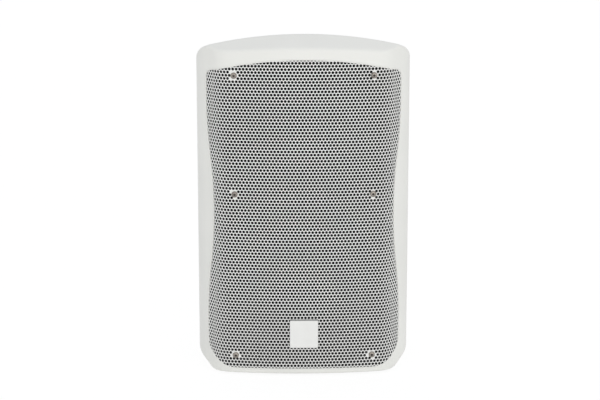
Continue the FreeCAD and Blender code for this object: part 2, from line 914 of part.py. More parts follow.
def window(name, height, width, tall, corner, front_y):
    """Rounded opening in the rear wall, from front_y out past the rear."""
    sketch = free_sketch(name + "_sketch", "XZ")
    round_box(sketch, nothing, height, width, tall, corner)
    return drawn_out(name, sketch, -front_y, REAR_Y + d.overrun)


input_hole_wide = d.input_width - 2 * d.input_border
input_hole_tall = d.input_tall - 2 * d.input_border
handle_cup_wide = d.handle_width - 2 * d.handle_border
handle_cup_tall = d.handle_tall - 2 * d.handle_border
rear_holes += [
    window("input_recess", d.input_height, d.input_width + 2 * d.input_play, d.input_tall + 2 * d.input_play,
           d.input_corner + d.input_play, REAR_Y - d.input_recess),
    window("input_hole", d.input_height, input_hole_wide, input_hole_tall, d.input_corner,
           REAR_Y - d.pad_thickness - d.overrun),
    window("handle_recess", d.handle_height, d.handle_width + 2 * d.input_play,
           d.handle_tall + 2 * d.input_play, d.handle_corner + d.input_play,
           REAR_Y - d.handle_sink - d.handle_flange),
    window("handle_hole", d.handle_height, handle_cup_wide + 2 * d.input_play,
           handle_cup_tall + 2 * d.input_play, d.handle_corner + d.input_play,
           REAR_Y - d.handle_pad - d.overrun),
]
corners = [(side, up) for side in (-1, 1) for up in (-1, 1)]
plate_back = REAR_Y - d.input_recess + d.input_gasket
plate_front = plate_back + d.input_plate
input_screw_x = d.input_width / 2 - d.input_screw_inset
input_screw_z = d.input_tall / 2 - d.input_screw_inset
handle_screw_x = d.handle_width / 2 - d.handle_screw_inset
handle_screw_z = d.handle_tall / 2 - d.handle_corner
tiny_hole = d.tiny_shank_radius + d.screw_play
for side, up in corners:
    tag = "%s_%s" % ("left" if side < 0 else "right", "low" if up < 0 else "high")
    rear_holes.append(
        rod_y("input_pilot_" + tag, shank_hole, side * input_screw_x, REAR_Y - d.pad_thickness,
              d.input_height + up * input_screw_z, d.pad_thickness)
    )
    rear_holes.append(
        rod_y("handle_pilot_" + tag, tiny_hole, side * handle_screw_x, REAR_Y - d.handle_pad,
              d.handle_height + up * handle_screw_z, d.handle_pad)
    )
pole_screw_turns = [45, 135, 225, 315]
for turn in pole_screw_turns:
    rear_holes.append(
        rod_z("pole_pilot_%d" % turn, tiny_hole, d.pole_screw_circle * cos(turn),
              d.pole_setback + d.pole_screw_circle * sin(turn), BELLY_Z, d.pole_pad)
    )
inside = common("inner_parts", fused("inner_solids", *inner_parts), form)
rear_shell = cut("rear_shell", fused("tub_and_parts", tub, inside), fused("rear_cuts", *rear_holes))

# Gasket strip between the halves, set in from the outside to leave a shadow line
strip_zone = box(
    "strip_zone", wide_room, d.gasket_thickness, tall_room,
    -wide_room / 2, SPLIT_Y - d.gasket_thickness / 2, -d.overrun,
)
strip_form = common("strip_form", cabinet_solid("strip", d.gasket_groove), strip_zone)
cabinet_gasket = cut("cabinet_gasket", strip_form, hollow)

# Grille: waisted sheet bent to the cabinet's plan, with a staggered field of openings
sheet_band = cut("sheet_band", plan_solid("sheet_front", nothing), plan_solid("sheet_back", d.sheet_thickness))
sheet_outline = waisted_solid("sheet_outline", nothing, SPLIT_Y)
sheet_blank = common("sheet_blank", sheet_band, sheet_outline)
doc.recompute()
outline_wire = sheet_outline.Base.Shape.Wires[0]
outline_face = Part.Face(outline_wire)


def on_sheet(x, z, keep):
    """True where a spot lies on the sheet with room to its edge, its screws and its badge."""
    spot = Vector(x, 0, z)
    if not outline_face.isInside(spot, 0.01, True):
        return False
    if outline_wire.distToShape(Part.Vertex(spot))[0] < keep + d.gap_land.value:
        return False
    for height, level in grille_rows:
        if math.hypot(abs(x) - d.grille_screw_x.value, z - height.value) < keep + d.post_radius.value:
            return False
    badge = d.badge_side.value / 2
    return abs(x) > badge + keep or abs(z - d.badge_height.value) > badge + keep


gap = d.gap_radius.value
row_step = d.gap_pitch.value * math.sqrt(3) / 2
rows = int(d.cab_height.value / row_step) + 1
columns = int(d.cab_width.value / d.gap_pitch.value) + 1
gap_tools = []
for row in range(rows):
    z = d.grille_bottom.value + row * row_step + gap + d.gap_land.value
    stagger = 0.5 * (row % 2)
    for column in range(-columns, columns + 1):
        x = (column + stagger) * d.gap_pitch.value
        if not on_sheet(x, z, gap):
            continue
        hexagon = [
            Vector(x + gap * math.sin(math.radians(turn)), 0, z + gap * math.cos(math.radians(turn)))
            for turn in range(0, 361, 60)
        ]
        tool = Part.Face(Part.makePolygon(hexagon)).extrude(Vector(0, -d.cab_depth.value, 0))
        gap_tools.append(tool)
for side, hand in both:
    for height, level in grille_rows:
        spot = Vector(side * d.grille_screw_x.value, -d.cab_depth.value, height.value)
        gap_tools.append(
            Part.makeCylinder(shank_hole.value, d.cab_depth.value, spot, Vector(0, 1, 0))
        )
gaps = doc.addObject("Part::Feature", "sheet_gaps")
gaps.Shape = Part.makeCompound(gap_tools)
grille = cut("grille", sheet_blank, gaps)

# Foam sheet close behind the grille, notched round the posts
foam_front = d.sheet_thickness + d.foam_gap
foam_band = cut(
    "foam_band", plan_solid("foam_front", foam_front), plan_solid("foam_back", foam_front + d.foam_thickness)
)
foam_blank = common("foam_blank", foam_band, waisted_solid("foam_outline", -d.ledge_width - d.foam_play, SPLIT_Y))
foam_notches = []
for side, hand in both:
    for height, level in grille_rows:
        foam_notches.append(
            rod_y("foam_notch_%s_%s" % (hand, level), d.post_radius + d.foam_play, side * d.grille_screw_x,
                  -d.cab_depth / 2, height, d.panel_depth)
        )
grille_foam = cut("grille_foam", foam_blank, fused("foam_notches", *foam_notches))

# Bare square plate in the badge's place
badge_plate = new_body("badge_plate")
badge_outline = pad_y(badge_plate, "outline", -d.cab_depth / 2, d.badge_proud - d.badge_gap)
draw(
    badge_outline,
    (-d.badge_side / 2, d.badge_height - d.badge_side / 2),
    (d.badge_side / 2, d.badge_height - d.badge_side / 2),
    (d.badge_side / 2, d.badge_height + d.badge_side / 2),
    (-d.badge_side / 2, d.badge_height + d.badge_side / 2),
)

# Bass driver, turned about its own axis
flange_front = PANEL_FRONT - d.flange_thickness
ring_front = PANEL_FRONT + d.basket_depth
landing_y = ring_front - d.landing_step
motor_y = ring_front + d.basket_wall
basket_inner = d.basket_radius - d.basket_wall
woofer_frame = turned(
    "woofer_frame",
    (d.flange_radius, flange_front),
    (d.flange_radius, PANEL_FRONT),
    (d.basket_radius, PANEL_FRONT),
    (d.landing_radius + d.basket_wall, landing_y),
    (d.landing_radius + d.basket_wall, motor_y),
    (d.rear_ring_bore, motor_y),
    (d.rear_ring_bore, ring_front),
    (d.landing_radius - d.landing_width, ring_front),
    (d.landing_radius - d.landing_width, landing_y),
    (d.landing_radius, landing_y),
    (basket_inner, PANEL_FRONT),
    (basket_inner, flange_front),
    z=d.woofer_height,
)


def round_pattern(body, feature, count):
    """Repeat a feature evenly about the body's y axis."""
    pattern = body.newObject("PartDesign::PolarPattern", feature.Name + "_ring")
    pattern.Originals = [feature]
    axis = [item for item in body.Origin.OriginFeatures if item.Role == "Y_Axis"][0]
    pattern.Axis = (axis, [""])
    pattern.Angle = 360.0
    pattern.setExpression("Occurrences", count.text)
    body.Tip = pattern
    return pattern


half_window = d.window_angle / 2
window_sketch = cut_y(woofer_frame, "window", PANEL_FRONT, d.basket_depth - d.landing_step)
draw(
    window_sketch,
    (d.window_inner * cos(half_window), -d.window_inner * sin(half_window), -d.window_inner),
    (d.window_outer * cos(half_window), -d.window_outer * sin(half_window)),
    (d.window_outer * cos(half_window), d.window_outer * sin(half_window), d.window_outer),
    (d.window_inner * cos(half_window), d.window_inner * sin(half_window)),
)
round_pattern(woofer_frame, woofer_frame.Tip, d.window_count)
first_turn = 180 / d.woofer_screw_count
hole_sketch = cut_y(woofer_frame, "screw_hole", flange_front, d.flange_thickness)
ring(hole_sketch, d.woofer_screw_circle * cos(first_turn), d.woofer_screw_circle * sin(first_turn), shank_hole)
round_pattern(woofer_frame, woofer_frame.Tip, d.woofer_screw_count)

gasket_inner = d.flange_radius - d.driver_gasket_width
woofer_gasket = turned(
    "woofer_gasket",
    (gasket_inner, flange_front - d.driver_gasket_thickness),
    (d.flange_radius, flange_front - d.driver_gasket_thickness),
    (d.flange_radius, flange_front),
    (gasket_inner, flange_front),
    z=d.woofer_height,
)
gasket_hole = cut_y(woofer_gasket, "screw_hole", flange_front - d.driver_gasket_thickness, d.driver_gasket_thickness)
ring(gasket_hole, d.woofer_screw_circle * cos(first_turn), d.woofer_screw_circle * sin(first_turn), shank_hole)
round_pattern(woofer_gasket, woofer_gasket.Tip, d.woofer_screw_count)

# Half-roll surround: lip on the flange, roll towards the front, drop to a lip before the cone's rim
roll_x = basket_inner - d.roll_radius
roll_y = flange_front - d.roll_thickness
roll_in = d.roll_radius - d.roll_thickness
drop_y = flange_front + d.roll_drop
lip_inner = d.cone_radius - d.cone_rim
woofer_surround = turned(
    "woofer_surround",
    (basket_inner + d.roll_lip, flange_front),
    (basket_inner + d.roll_lip, roll_y),
    (basket_inner, roll_y),
    (roll_x, roll_y - d.roll_radius, -d.roll_radius),
    (roll_x - d.roll_radius, roll_y, -d.roll_radius),
    (roll_x - d.roll_radius, drop_y),
    (lip_inner, drop_y),
    (lip_inner, drop_y + d.roll_thickness),
    (roll_x - roll_in, drop_y + d.roll_thickness),
    (roll_x - roll_in, roll_y),
    (roll_x, roll_y - roll_in, roll_in),
    (roll_x + roll_in, roll_y, roll_in),
    (roll_x + roll_in, flange_front),
    z=d.woofer_height,
)
cone_y = drop_y + d.roll_thickness + d.cone_gap
cone_back = cone_y + d.cone_depth
neck = d.former_radius + d.glue_gap
woofer_cone = turned(
    "woofer_cone",
    (d.cone_radius, cone_y),
    (d.cone_radius, cone_y + d.cone_thickness),
    (lip_inner, cone_y + d.cone_thickness),
    (neck, cone_back),
    (neck, cone_back - d.cone_thickness),
    (lip_inner, cone_y),
    z=d.woofer_height,
)
cap_y = cone_y + (d.cone_depth - d.cone_thickness) * (lip_inner - d.cap_radius) / (lip_inner - neck) - d.cap_gap
cap_sphere = (d.cap_radius * d.cap_radius + d.cap_height * d.cap_height) / (2 * d.cap_height)
cap_inside = cap_sphere - d.cap_thickness
cap_drop = cap_sphere - d.cap_height
cap_inner = root(cap_inside * cap_inside - cap_drop * cap_drop)
dust_cap = turned(
    "dust_cap",
    (d.cap_radius, cap_y),
    (0, cap_y - d.cap_height, -cap_sphere),
    (0, cap_y - d.cap_height + d.cap_thickness),
    (cap_inner, cap_y, cap_inside),
    z=d.woofer_height,
)

# Voice coil in the motor's gap
plate_middle = motor_y + d.top_plate_thickness / 2
winding_start = plate_middle - d.winding_length / 2
winding_end = plate_middle + d.winding_length / 2
winding_radius = d.former_radius + d.winding_thickness
coil_former = turned(
    "coil_former",
    (d.former_radius - d.former_wall, cone_back - d.former_overlap),
    (d.former_radius, cone_back - d.former_overlap),
    (d.former_radius, winding_end),
    (d.former_radius - d.former_wall, winding_end),
    z=d.woofer_height,
)
coil_winding = turned(
    "coil_winding",
    (d.former_radius, winding_start),
    (winding_radius, winding_start),
    (winding_radius, winding_end),
    (d.former_radius, winding_end),
    z=d.woofer_height,
)

# Pleated spider from the basket's landing up to the former
spider_lip = d.landing_radius - d.landing_width + d.basket_wall
spider_inner = d.former_radius + d.glue_gap
pleat = (spider_lip - spider_inner) / 6
rise = d.spider_rise / 3
spider_top = landing_y - d.spider_thickness
crests = [
    (spider_lip - pleat, spider_top - rise * 2),
    (spider_lip - pleat * 2, spider_top - rise),
    (spider_lip - pleat * 3, spider_top - rise * 2.5),
    (spider_lip - pleat * 4, spider_top - rise * 1.5),
    (spider_lip - pleat * 5, spider_top - rise * 3),
    (spider_inner, spider_top - rise * 3),
]
undersides = [(x, y + d.spider_thickness) for x, y in reversed(crests)]
woofer_spider = turned(
    "woofer_spider",
    (d.landing_radius - d.basket_wall / 6, spider_top),
    (spider_lip, spider_top),
    *crests,
    *undersides,
    (spider_lip, landing_y),
    (d.landing_radius - d.basket_wall / 6, landing_y),
    z=d.woofer_height,
)

# Motor: front plate, ring magnet, yoke with its pole
plate_bore = winding_radius + d.coil_gap
plate_end = motor_y + d.top_plate_thickness
magnet_end = plate_end + d.magnet_thickness
woofer_plate = turned(
    "woofer_plate",
    (plate_bore, motor_y),
    (d.top_plate_radius, motor_y),
    (d.top_plate_radius, plate_end),
    (plate_bore, plate_end),
    z=d.woofer_height,
)
woofer_magnet = turned(
    "woofer_magnet",
    (d.magnet_bore, plate_end),
    (d.magnet_radius, plate_end),
    (d.magnet_radius, magnet_end),
    (d.magnet_bore, magnet_end),
    z=d.woofer_height,
)
pole_tip = d.former_radius - d.former_wall - d.coil_gap
woofer_yoke = turned(
    "woofer_yoke",
    (0, motor_y),
    (pole_tip, motor_y),
    (pole_tip, magnet_end),
    (d.top_plate_radius, magnet_end),
    (d.top_plate_radius, magnet_end + d.yoke_thickness),
    (0, magnet_end + d.yoke_thickness),
    z=d.woofer_height,
)

# Horn: mouth flange, wall that narrows smoothly to a round throat, pad for its driver
mouth_y = flange_front
throat_y = mouth_y + d.horn_depth


def horn_section(name, y, width, tall, corner):
    sketch = free_sketch(name, "XZ")
    round_box(sketch, nothing, d.horn_height, width, tall, corner)
    place(sketch, y=y)
    return sketch


def throat_section(name, y, radius):
    """Circle in eight arcs, one for each stretch of the mouth's outline."""
    sketch = free_sketch(name, "XZ")
    turns = [-112.5 + 45 * step for step in range(8)]
    draw(sketch, *[(radius * cos(turn), d.horn_height + radius * sin(turn), radius) for turn in turns])
    place(sketch, y=y)
    return sketch


def horn_loft(name, grow):
    loft = doc.addObject("Part::Loft", name)
    loft.Sections = [
        horn_section(name + "_mouth", mouth_y, d.horn_mouth_width + 2 * grow, d.horn_mouth_height + 2 * grow,
                     d.horn_mouth_corner + grow),
        horn_section(name + "_neck", mouth_y + d.horn_neck_depth, d.horn_neck_width + 2 * grow,
                     d.horn_neck_height + 2 * grow, d.horn_neck_corner + grow),
        throat_section(name + "_throat", throat_y, d.throat_radius + grow),
    ]
    loft.Solid = True
    loft.Ruled = False
    return loft


flange_sketch = horn_section(
    "horn_flange_sketch", mouth_y, d.horn_flange_width, d.horn_flange_height, d.horn_flange_corner
)
horn_flange = drawn_out("horn_flange", flange_sketch, 0, d.flange_thickness)
horn_pad = rod_y("horn_pad", d.horn_pad_radius, 0, throat_y - d.horn_pad_thickness, d.horn_height, d.horn_pad_thickness)
horn_holes = [
    rod_y("horn_hole_%d" % index, shank_hole, across * d.horn_screw_x, mouth_y,
          d.horn_height + up * d.horn_screw_z, d.flange_thickness)
    for index, (across, up) in enumerate(horn_spots)
]
bolt_turns = [90, 210, 330]
bolt_hole = d.bolt_radius + d.screw_play
pad_front = throat_y - d.horn_pad_thickness
horn_holes += [
    rod_y("pad_hole_%d" % turn, bolt_hole, d.bolt_circle * cos(turn), pad_front,
          d.horn_height + d.bolt_circle * sin(turn), d.horn_pad_thickness)
    for turn in bolt_turns
]
horn_solid = cut("horn_solid", fused("horn_outside", horn_flange, horn_loft("horn_outer", d.horn_wall), horn_pad),
                 horn_loft("horn_inner", nothing))
waveguide_horn = cut("waveguide_horn", horn_solid, fused("horn_cuts", *horn_holes))

# Compression driver behind the throat
plate_y = throat_y + d.pole_plate_thickness
ring_y = plate_y + d.tweeter_magnet_thickness
gap_y = ring_y + d.tweeter_plate_thickness
driver_pole = turned(
    "driver_pole",
    (d.throat_radius, throat_y),
    (d.tweeter_plate_radius, throat_y),
    (d.tweeter_plate_radius, plate_y),
    (d.tweeter_core_radius, plate_y),
    (d.tweeter_core_radius, gap_y),
    (d.throat_radius + d.former_overlap, gap_y),
    z=d.horn_height,
)
pole_holes = cut_y(driver_pole, "bolt_hole", throat_y, d.pole_plate_thickness)
for turn in bolt_turns:
    ring(pole_holes, d.bolt_circle * cos(turn), d.bolt_circle * sin(turn), bolt_hole)
driver_magnet = turned(
    "driver_magnet",
    (d.tweeter_magnet_bore, plate_y),
    (d.tweeter_magnet_radius, plate_y),
    (d.tweeter_magnet_radius, ring_y),
    (d.tweeter_magnet_bore, ring_y),
    z=d.horn_height,
)
dome_inner = d.dome_radius - d.dome_thickness
driver_plate = turned(
    "driver_plate",
    (d.dome_radius + d.dome_gap, ring_y),
    (d.tweeter_plate_radius, ring_y),
    (d.tweeter_plate_radius, gap_y),
    (d.dome_radius + d.dome_gap, gap_y),
    z=d.horn_height,
)
dome_y = gap_y + d.dome_gap
dome_sphere = (d.dome_radius * d.dome_radius + d.dome_height * d.dome_height) / (2 * d.dome_height)
dome_inside = dome_sphere - d.dome_thickness
dome_centre = dome_y + d.dome_height - dome_sphere
driver_diaphragm = turned(
    "driver_diaphragm",
    (d.dome_radius, dome_y - d.dome_skirt),
    (d.dome_radius, dome_y),
    (0, dome_y + d.dome_height, dome_sphere),
    (0, dome_y + d.dome_height - d.dome_thickness),
    (dome_inner, dome_centre + root(dome_inside * dome_inside - dome_inner * dome_inner), -dome_inside),
    (dome_inner, dome_y - d.dome_skirt),
    z=d.horn_height,
)
driver_clamp = turned(
    "driver_clamp",
    (d.dome_radius + d.dome_gap, gap_y),
    (d.clamp_radius, gap_y),
    (d.clamp_radius, gap_y + d.clamp_thickness),
    (d.dome_radius + d.dome_gap, gap_y + d.clamp_thickness),
    z=d.horn_height,
)
cap_end = gap_y + d.rear_cap_depth
driver_cap = turned(
    "driver_cap",
    (d.tweeter_plate_radius - d.rear_cap_wall, gap_y),
    (d.tweeter_plate_radius, gap_y),
    (d.tweeter_plate_radius, cap_end - d.rear_cap_wall),
    (d.tweeter_plate_radius - d.rear_cap_wall, cap_end, d.rear_cap_wall),
    (0, cap_end),
    (0, cap_end - d.rear_cap_wall),
    (d.tweeter_plate_radius - d.rear_cap_wall, cap_end - d.rear_cap_wall),
    z=d.horn_height,
)

# Reflex port tubes with a lip on the baffle
port_outer = d.port_radius + d.port_wall
port_tube = turned(
    "port_tube",
    (d.port_radius, PANEL_FRONT - d.port_lip_thickness),
    (port_outer + d.port_lip, PANEL_FRONT - d.port_lip_thickness),
    (port_outer + d.port_lip, PANEL_FRONT),
    (port_outer, PANEL_FRONT),
    (port_outer, PANEL_FRONT + d.port_length),
    (d.port_radius, PANEL_FRONT + d.port_length),
)
port_tubes = group("port_tubes", port_tube, [at(side * d.port_x, 0, d.port_height) for side, hand in both])

# Screws and bolts
grille_screw = screw("grille_screw", d.small_head_radius, d.small_head_height, d.small_shank_radius,
                     d.grille_screw_length)
grille_screws = group(
    "grille_screws", grille_screw,
    [at(side * d.grille_screw_x, grille_seat_y, height) for side, hand in both for height, level in grille_rows],
)
shell_screw = screw("shell_screw", d.small_head_radius, d.small_head_height, d.small_shank_radius,
                    d.shell_screw_length)
shell_screws = group(
    "shell_screws", shell_screw,
    [at(side * x, PANEL_FRONT, height) for side, hand in both for x, height, level in column_spots],
)
woofer_screw = screw("woofer_screw", d.small_head_radius, d.small_head_height, d.small_shank_radius,
                     d.woofer_screw_length)
woofer_turns = [(index + 0.5) * 360 / d.woofer_screw_count for index in range(int(d.woofer_screw_count.value))]
woofer_screws = group(
    "woofer_screws", woofer_screw,
    [
        at(d.woofer_screw_circle * cos(turn), flange_front - d.driver_gasket_thickness,
           d.woofer_height + d.woofer_screw_circle * sin(turn))
        for turn in woofer_turns
    ],
)
horn_screw = screw("horn_screw", d.small_head_radius, d.small_head_height, d.small_shank_radius,
                   d.horn_screw_length)
horn_screws = group(
    "horn_screws", horn_screw,
    [at(across * d.horn_screw_x, mouth_y, d.horn_height + up * d.horn_screw_z) for across, up in horn_spots],
)
driver_bolt = screw("driver_bolt", d.bolt_head_radius, d.bolt_head_height, d.bolt_radius,
                    d.horn_pad_thickness + d.pole_plate_thickness - d.screw_play)
driver_bolts = group(
    "driver_bolts", driver_bolt,
    [at(d.bolt_circle * cos(turn), pad_front, d.horn_height + d.bolt_circle * sin(turn)) for turn in bolt_turns],
)

# Rear input panel on its gasket, with two round loudspeaker sockets
input_panel = new_body("input_panel")
panel_sketch = pad_y(input_panel, "plate", plate_back, d.input_plate)
round_box(panel_sketch, nothing, d.input_height, d.input_width, d.input_tall, d.input_corner)
panel_gasket = new_body("panel_gasket")
strip_sketch = pad_y(panel_gasket, "strip", plate_back - d.input_gasket, d.input_gasket)
round_box(strip_sketch, nothing, d.input_height, d.input_width, d.input_tall, d.input_corner)
round_box(strip_sketch, nothing, d.input_height, input_hole_wide, input_hole_tall, d.input_corner)
for side, up in corners:
    ring(panel_sketch, side * input_screw_x, d.input_height + up * input_screw_z, shank_hole)
    ring(strip_sketch, side * input_screw_x, d.input_height + up * input_screw_z, shank_hole)
socket_screw_spots = []
for side, hand in both:
    ring(panel_sketch, side * d.socket_x, d.input_height, d.socket_radius + d.socket_play)
    for way in (-1, 1):
        spot = (side * d.socket_x + way * d.socket_screw_offset, d.input_height + way * d.socket_screw_offset)
        socket_screw_spots.append(spot)
        ring(panel_sketch, *spot, tiny_hole)
turned_back = Rotation(Vector(0, 0, 1), 180)
panel_screw = screw("panel_screw", d.small_head_radius, d.small_head_height, d.small_shank_radius,
                    d.panel_screw_length)
panel_screws = group(
    "panel_screws", panel_screw,
    [
        at(side * input_screw_x, plate_front, d.input_height + up * input_screw_z, turned_back)
        for side, up in corners
    ],
)
socket = new_body("socket")
socket_plate = pad_y(socket, "plate", plate_front, d.socket_flange_thickness)
round_box(socket_plate, nothing, nothing, d.socket_side, d.socket_side, d.socket_corner)
for way in (-1, 1):
    ring(socket_plate, way * d.socket_screw_offset, way * d.socket_screw_offset, tiny_hole)
barrel = pad_y(socket, "barrel", plate_front - d.socket_depth, d.socket_depth + d.socket_flange_thickness)
ring(barrel, 0, 0, d.socket_radius)
mouth_ring = cut_y(socket, "mouth", plate_front - d.socket_depth + d.socket_floor, d.socket_depth + d.overrun)
ring(mouth_ring, 0, 0, d.socket_bore)
ring(mouth_ring, 0, 0, d.socket_core)
speaker_sockets = group(
    "speaker_sockets", socket, [at(side * d.socket_x, 0, d.input_height) for side, hand in both]
)
socket_screw = screw("socket_screw", d.tiny_head_radius, d.tiny_head_height, d.tiny_shank_radius, d.tiny_length)
socket_screws = group(
    "socket_screws", socket_screw,
    [at(x, plate_front + d.socket_flange_thickness, z, turned_back) for x, z in socket_screw_spots],
)

# Crossover board on spacers behind the input panel
board_back = plate_back - d.spacer_length
board_front = board_back - d.board_thickness
crossover_board = new_body("crossover_board")
board_sketch = pad_y(crossover_board, "board", board_front, d.board_thickness)
draw(
    board_sketch,
    (-d.board_width / 2, d.input_height - d.board_tall / 2),
    (d.board_width / 2, d.input_height - d.board_tall / 2),
    (d.board_width / 2, d.input_height + d.board_tall / 2),
    (-d.board_width / 2, d.input_height + d.board_tall / 2),
)
spacer = turned(
    "spacer",
    (0, board_back),
    (d.spacer_radius, board_back),
    (d.spacer_radius, plate_back),
    (0, plate_back),
)
spacer_x = d.board_width / 2 - d.spacer_inset
spacer_z = d.board_tall / 2 - d.spacer_inset
board_spacers = group(
    "board_spacers", spacer, [at(side * spacer_x, 0, d.input_height + up * spacer_z) for side, up in corners]
)
choke = turned(
    "choke",
    (d.choke_bore, 0),
    (d.choke_bore, -d.choke_length),
    (d.choke_radius, -d.choke_length),
    (d.choke_radius, d.choke_cheek - d.choke_length),
    (d.choke_radius - d.choke_cheek, d.choke_cheek - d.choke_length),
    (d.choke_radius - d.choke_cheek, -d.choke_cheek),
    (d.choke_radius, -d.choke_cheek),
    (d.choke_radius, 0),
)
crossover_chokes = group(
    "crossover_chokes", choke,
    [at(side * d.choke_x, board_front, d.input_height + d.choke_z) for side, hand in both],
)
can = turned(
    "can",
    (0, 0),
    (0, -d.can_length),
    (d.can_radius - d.can_soft, -d.can_length),
    (d.can_radius, d.can_soft - d.can_length, d.can_soft),
    (d.can_radius, 0),
)
crossover_cans = group(
    "crossover_cans", can, [at(side * d.can_x, board_front, d.input_height + d.can_z) for side, hand in both]
)
resistor = box(
    "resistor", d.resistor_width, d.resistor_side, d.resistor_side,
    -d.resistor_width / 2, -d.resistor_side, -d.resistor_side / 2,
)
crossover_resistors = group(
    "crossover_resistors", resistor,
    [at(side * d.choke_x / 2, board_front, d.input_height - d.resistor_z) for side, hand in both],
)

# Recessed rear handle: flanged cup with a grip across it
handle_face = REAR_Y - d.handle_sink
handle_cup = new_body("handle_cup")
handle_plate = pad_y(handle_cup, "flange", handle_face - d.handle_flange, d.handle_flange)
round_box(handle_plate, nothing, d.handle_height, d.handle_width, d.handle_tall, d.handle_corner)
for side, up in corners:
    ring(handle_plate, side * handle_screw_x, d.handle_height + up * handle_screw_z, tiny_hole)
cup_sketch = pad_y(handle_cup, "cup", handle_face - d.handle_depth, d.handle_depth)
round_box(cup_sketch, nothing, d.handle_height, handle_cup_wide, handle_cup_tall, d.handle_corner)
bowl_wide = handle_cup_wide - 2 * d.handle_wall
bowl_tall = handle_cup_tall - 2 * d.handle_wall
bowl_sketch = cut_y(handle_cup, "bowl", handle_face - d.handle_depth + d.handle_wall, d.handle_depth)
round_box(bowl_sketch, nothing, d.handle_height, bowl_wide, bowl_tall, d.handle_corner - d.handle_wall)
grip_sketch = body_sketch(handle_cup, "YZ", "grip", -bowl_wide / 2)
round_box(
    grip_sketch, handle_face - d.grip_inset - d.grip_thick / 2, d.handle_height + d.grip_lift,
    d.grip_thick, d.grip_tall, d.grip_soft,
)
grip = handle_cup.newObject("PartDesign::Pad", "handle_grip")
grip.Profile = grip_sketch
grip.setExpression("Length", bowl_wide.text)
handle_cup.Tip = grip
handle_screws = group(
    "handle_screws", socket_screw,
    [
        at(side * handle_screw_x, handle_face, d.handle_height + up * handle_screw_z, turned_back)
        for side, up in corners
    ],
)

# Threaded inserts for a wall bracket
insert = turned(
    "insert",
    (0, REAR_Y - d.insert_length),
    (d.insert_radius, REAR_Y - d.insert_length),
    (d.insert_radius, REAR_Y),
    (d.insert_bore, REAR_Y),
    (d.insert_bore, REAR_Y - d.insert_thread),
    (0, REAR_Y - d.insert_thread),
)
rigging_inserts = group(
    "rigging_inserts", insert, [at(side * d.insert_x, 0, d.insert_height) for side, hand in both]
)

# Pole cup in the underside
cup_top = BELLY_Z + d.pole_depth
pole_cup = turned(
    "pole_cup",
    (d.pole_radius, BELLY_Z),
    (d.pole_flange, BELLY_Z),
    (d.pole_flange, BELLY_Z + d.pole_flange_thickness),
    (d.pole_radius + d.pole_wall, BELLY_Z + d.pole_flange_thickness),
    (d.pole_radius + d.pole_wall, cup_top + d.pole_wall),
    (0, cup_top + d.pole_wall),
    (0, cup_top),
    (d.pole_radius, cup_top),
    plane="XZ",
    y=d.pole_setback,
)
flange_holes = body_sketch(pole_cup, "XY", "screw_holes", BELLY_Z + d.pole_flange_thickness)
for turn in pole_screw_turns:
    ring(flange_holes, d.pole_screw_circle * cos(turn), d.pole_screw_circle * sin(turn), tiny_hole)
flange_cut = pole_cup.newObject("PartDesign::Pocket", "pole_cup_holes")
flange_cut.Profile = flange_holes
flange_cut.setExpression("Length", d.pole_flange_thickness.text)
pole_cup.Tip = flange_cut
head_down = Rotation(Vector(1, 0, 0), 90)
pole_screws = group(
    "pole_screws", socket_screw,
    [
        at(d.pole_screw_circle * cos(turn), d.pole_setback + d.pole_screw_circle * sin(turn), BELLY_Z, head_down)
        for turn in pole_screw_turns
    ],
)

# Rubber feet in shallow seats
foot = turned(
    "foot",
    (0, 0),
    (d.foot_radius - d.foot_seat, 0),
    (d.foot_radius, d.foot_seat, d.foot_seat),
    (d.foot_radius, d.foot_height + d.foot_seat),
    (0, d.foot_height + d.foot_seat),
    plane="XZ",
)
foot_spots = [at(side * d.front_foot_x, -d.front_foot_y, 0) for side, hand in both]
foot_spots += [at(side * d.rear_foot_x, d.rear_foot_y, 0) for side, hand in both]
rubber_feet = group("rubber_feet", foot, foot_spots)

# Wadding on the rear wall
wadding_pad = box(
    "wadding_pad", d.wadding_width, d.wadding_thickness, d.wadding_tall,
    -d.wadding_width / 2, REAR_Y - d.wall - d.wadding_gap - d.wadding_thickness,
    d.wadding_height - d.wadding_tall / 2,
)

nodes = [
    front_baffle, rear_shell, cabinet_gasket, shell_screws,
    grille, grille_foam, grille_screws, badge_plate,
    woofer_frame, woofer_gasket, woofer_surround, woofer_cone, dust_cap, coil_former, coil_winding, woofer_spider,
    woofer_plate, woofer_magnet, woofer_yoke, woofer_screws,
    waveguide_horn, horn_screws, driver_pole, driver_magnet, driver_plate, driver_diaphragm, driver_clamp,
    driver_cap, driver_bolts, port_tubes,
    input_panel, panel_gasket, panel_screws, speaker_sockets, socket_screws,
    crossover_board, board_spacers, crossover_chokes, crossover_cans, crossover_resistors,
    handle_cup, handle_screws, rigging_inserts, pole_cup, pole_screws, rubber_feet, wadding_pad,
]

doc.recompute()
faults = [
    "%s: %s" % (thing.Label, ", ".join(thing.State))
    for thing in doc.Objects
    if "Invalid" in thing.State or "Error" in thing.State
]
for node in nodes:
    if node.Shape.isNull():
        faults.append(node.Label + ": no shape")
    elif not node.Shape.isValid():
        faults.append(node.Label + ": not valid")
if faults:
    raise RuntimeError("; ".join(faults))

os.makedirs("parts", exist_ok=True)
for node in nodes:
    node.Shape.exportStep("parts/%s.step" % node.Label)
    print("%-20s %2d solids %10.1f mm3" % (node.Label, len(node.Shape.Solids), node.Shape.Volume))
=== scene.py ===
# %% [markdown]
# # Dressing a public address loudspeaker
# The loudspeaker's solids come in as a fixed frame, already in metres and in place. This lesson gives them
# their finishes and models anew what solids show too plainly: the perforated grille, softened mouldings,
# screw heads, the badge's bare plate and the soft parts.

# %% Load the frame
from math import asin, atan2, cos, degrees, hypot, pi, radians, sin, sqrt, tan

import bmesh
import bpy
import numpy as np
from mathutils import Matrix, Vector
from mathutils.geometry import delaunay_2d_cdt


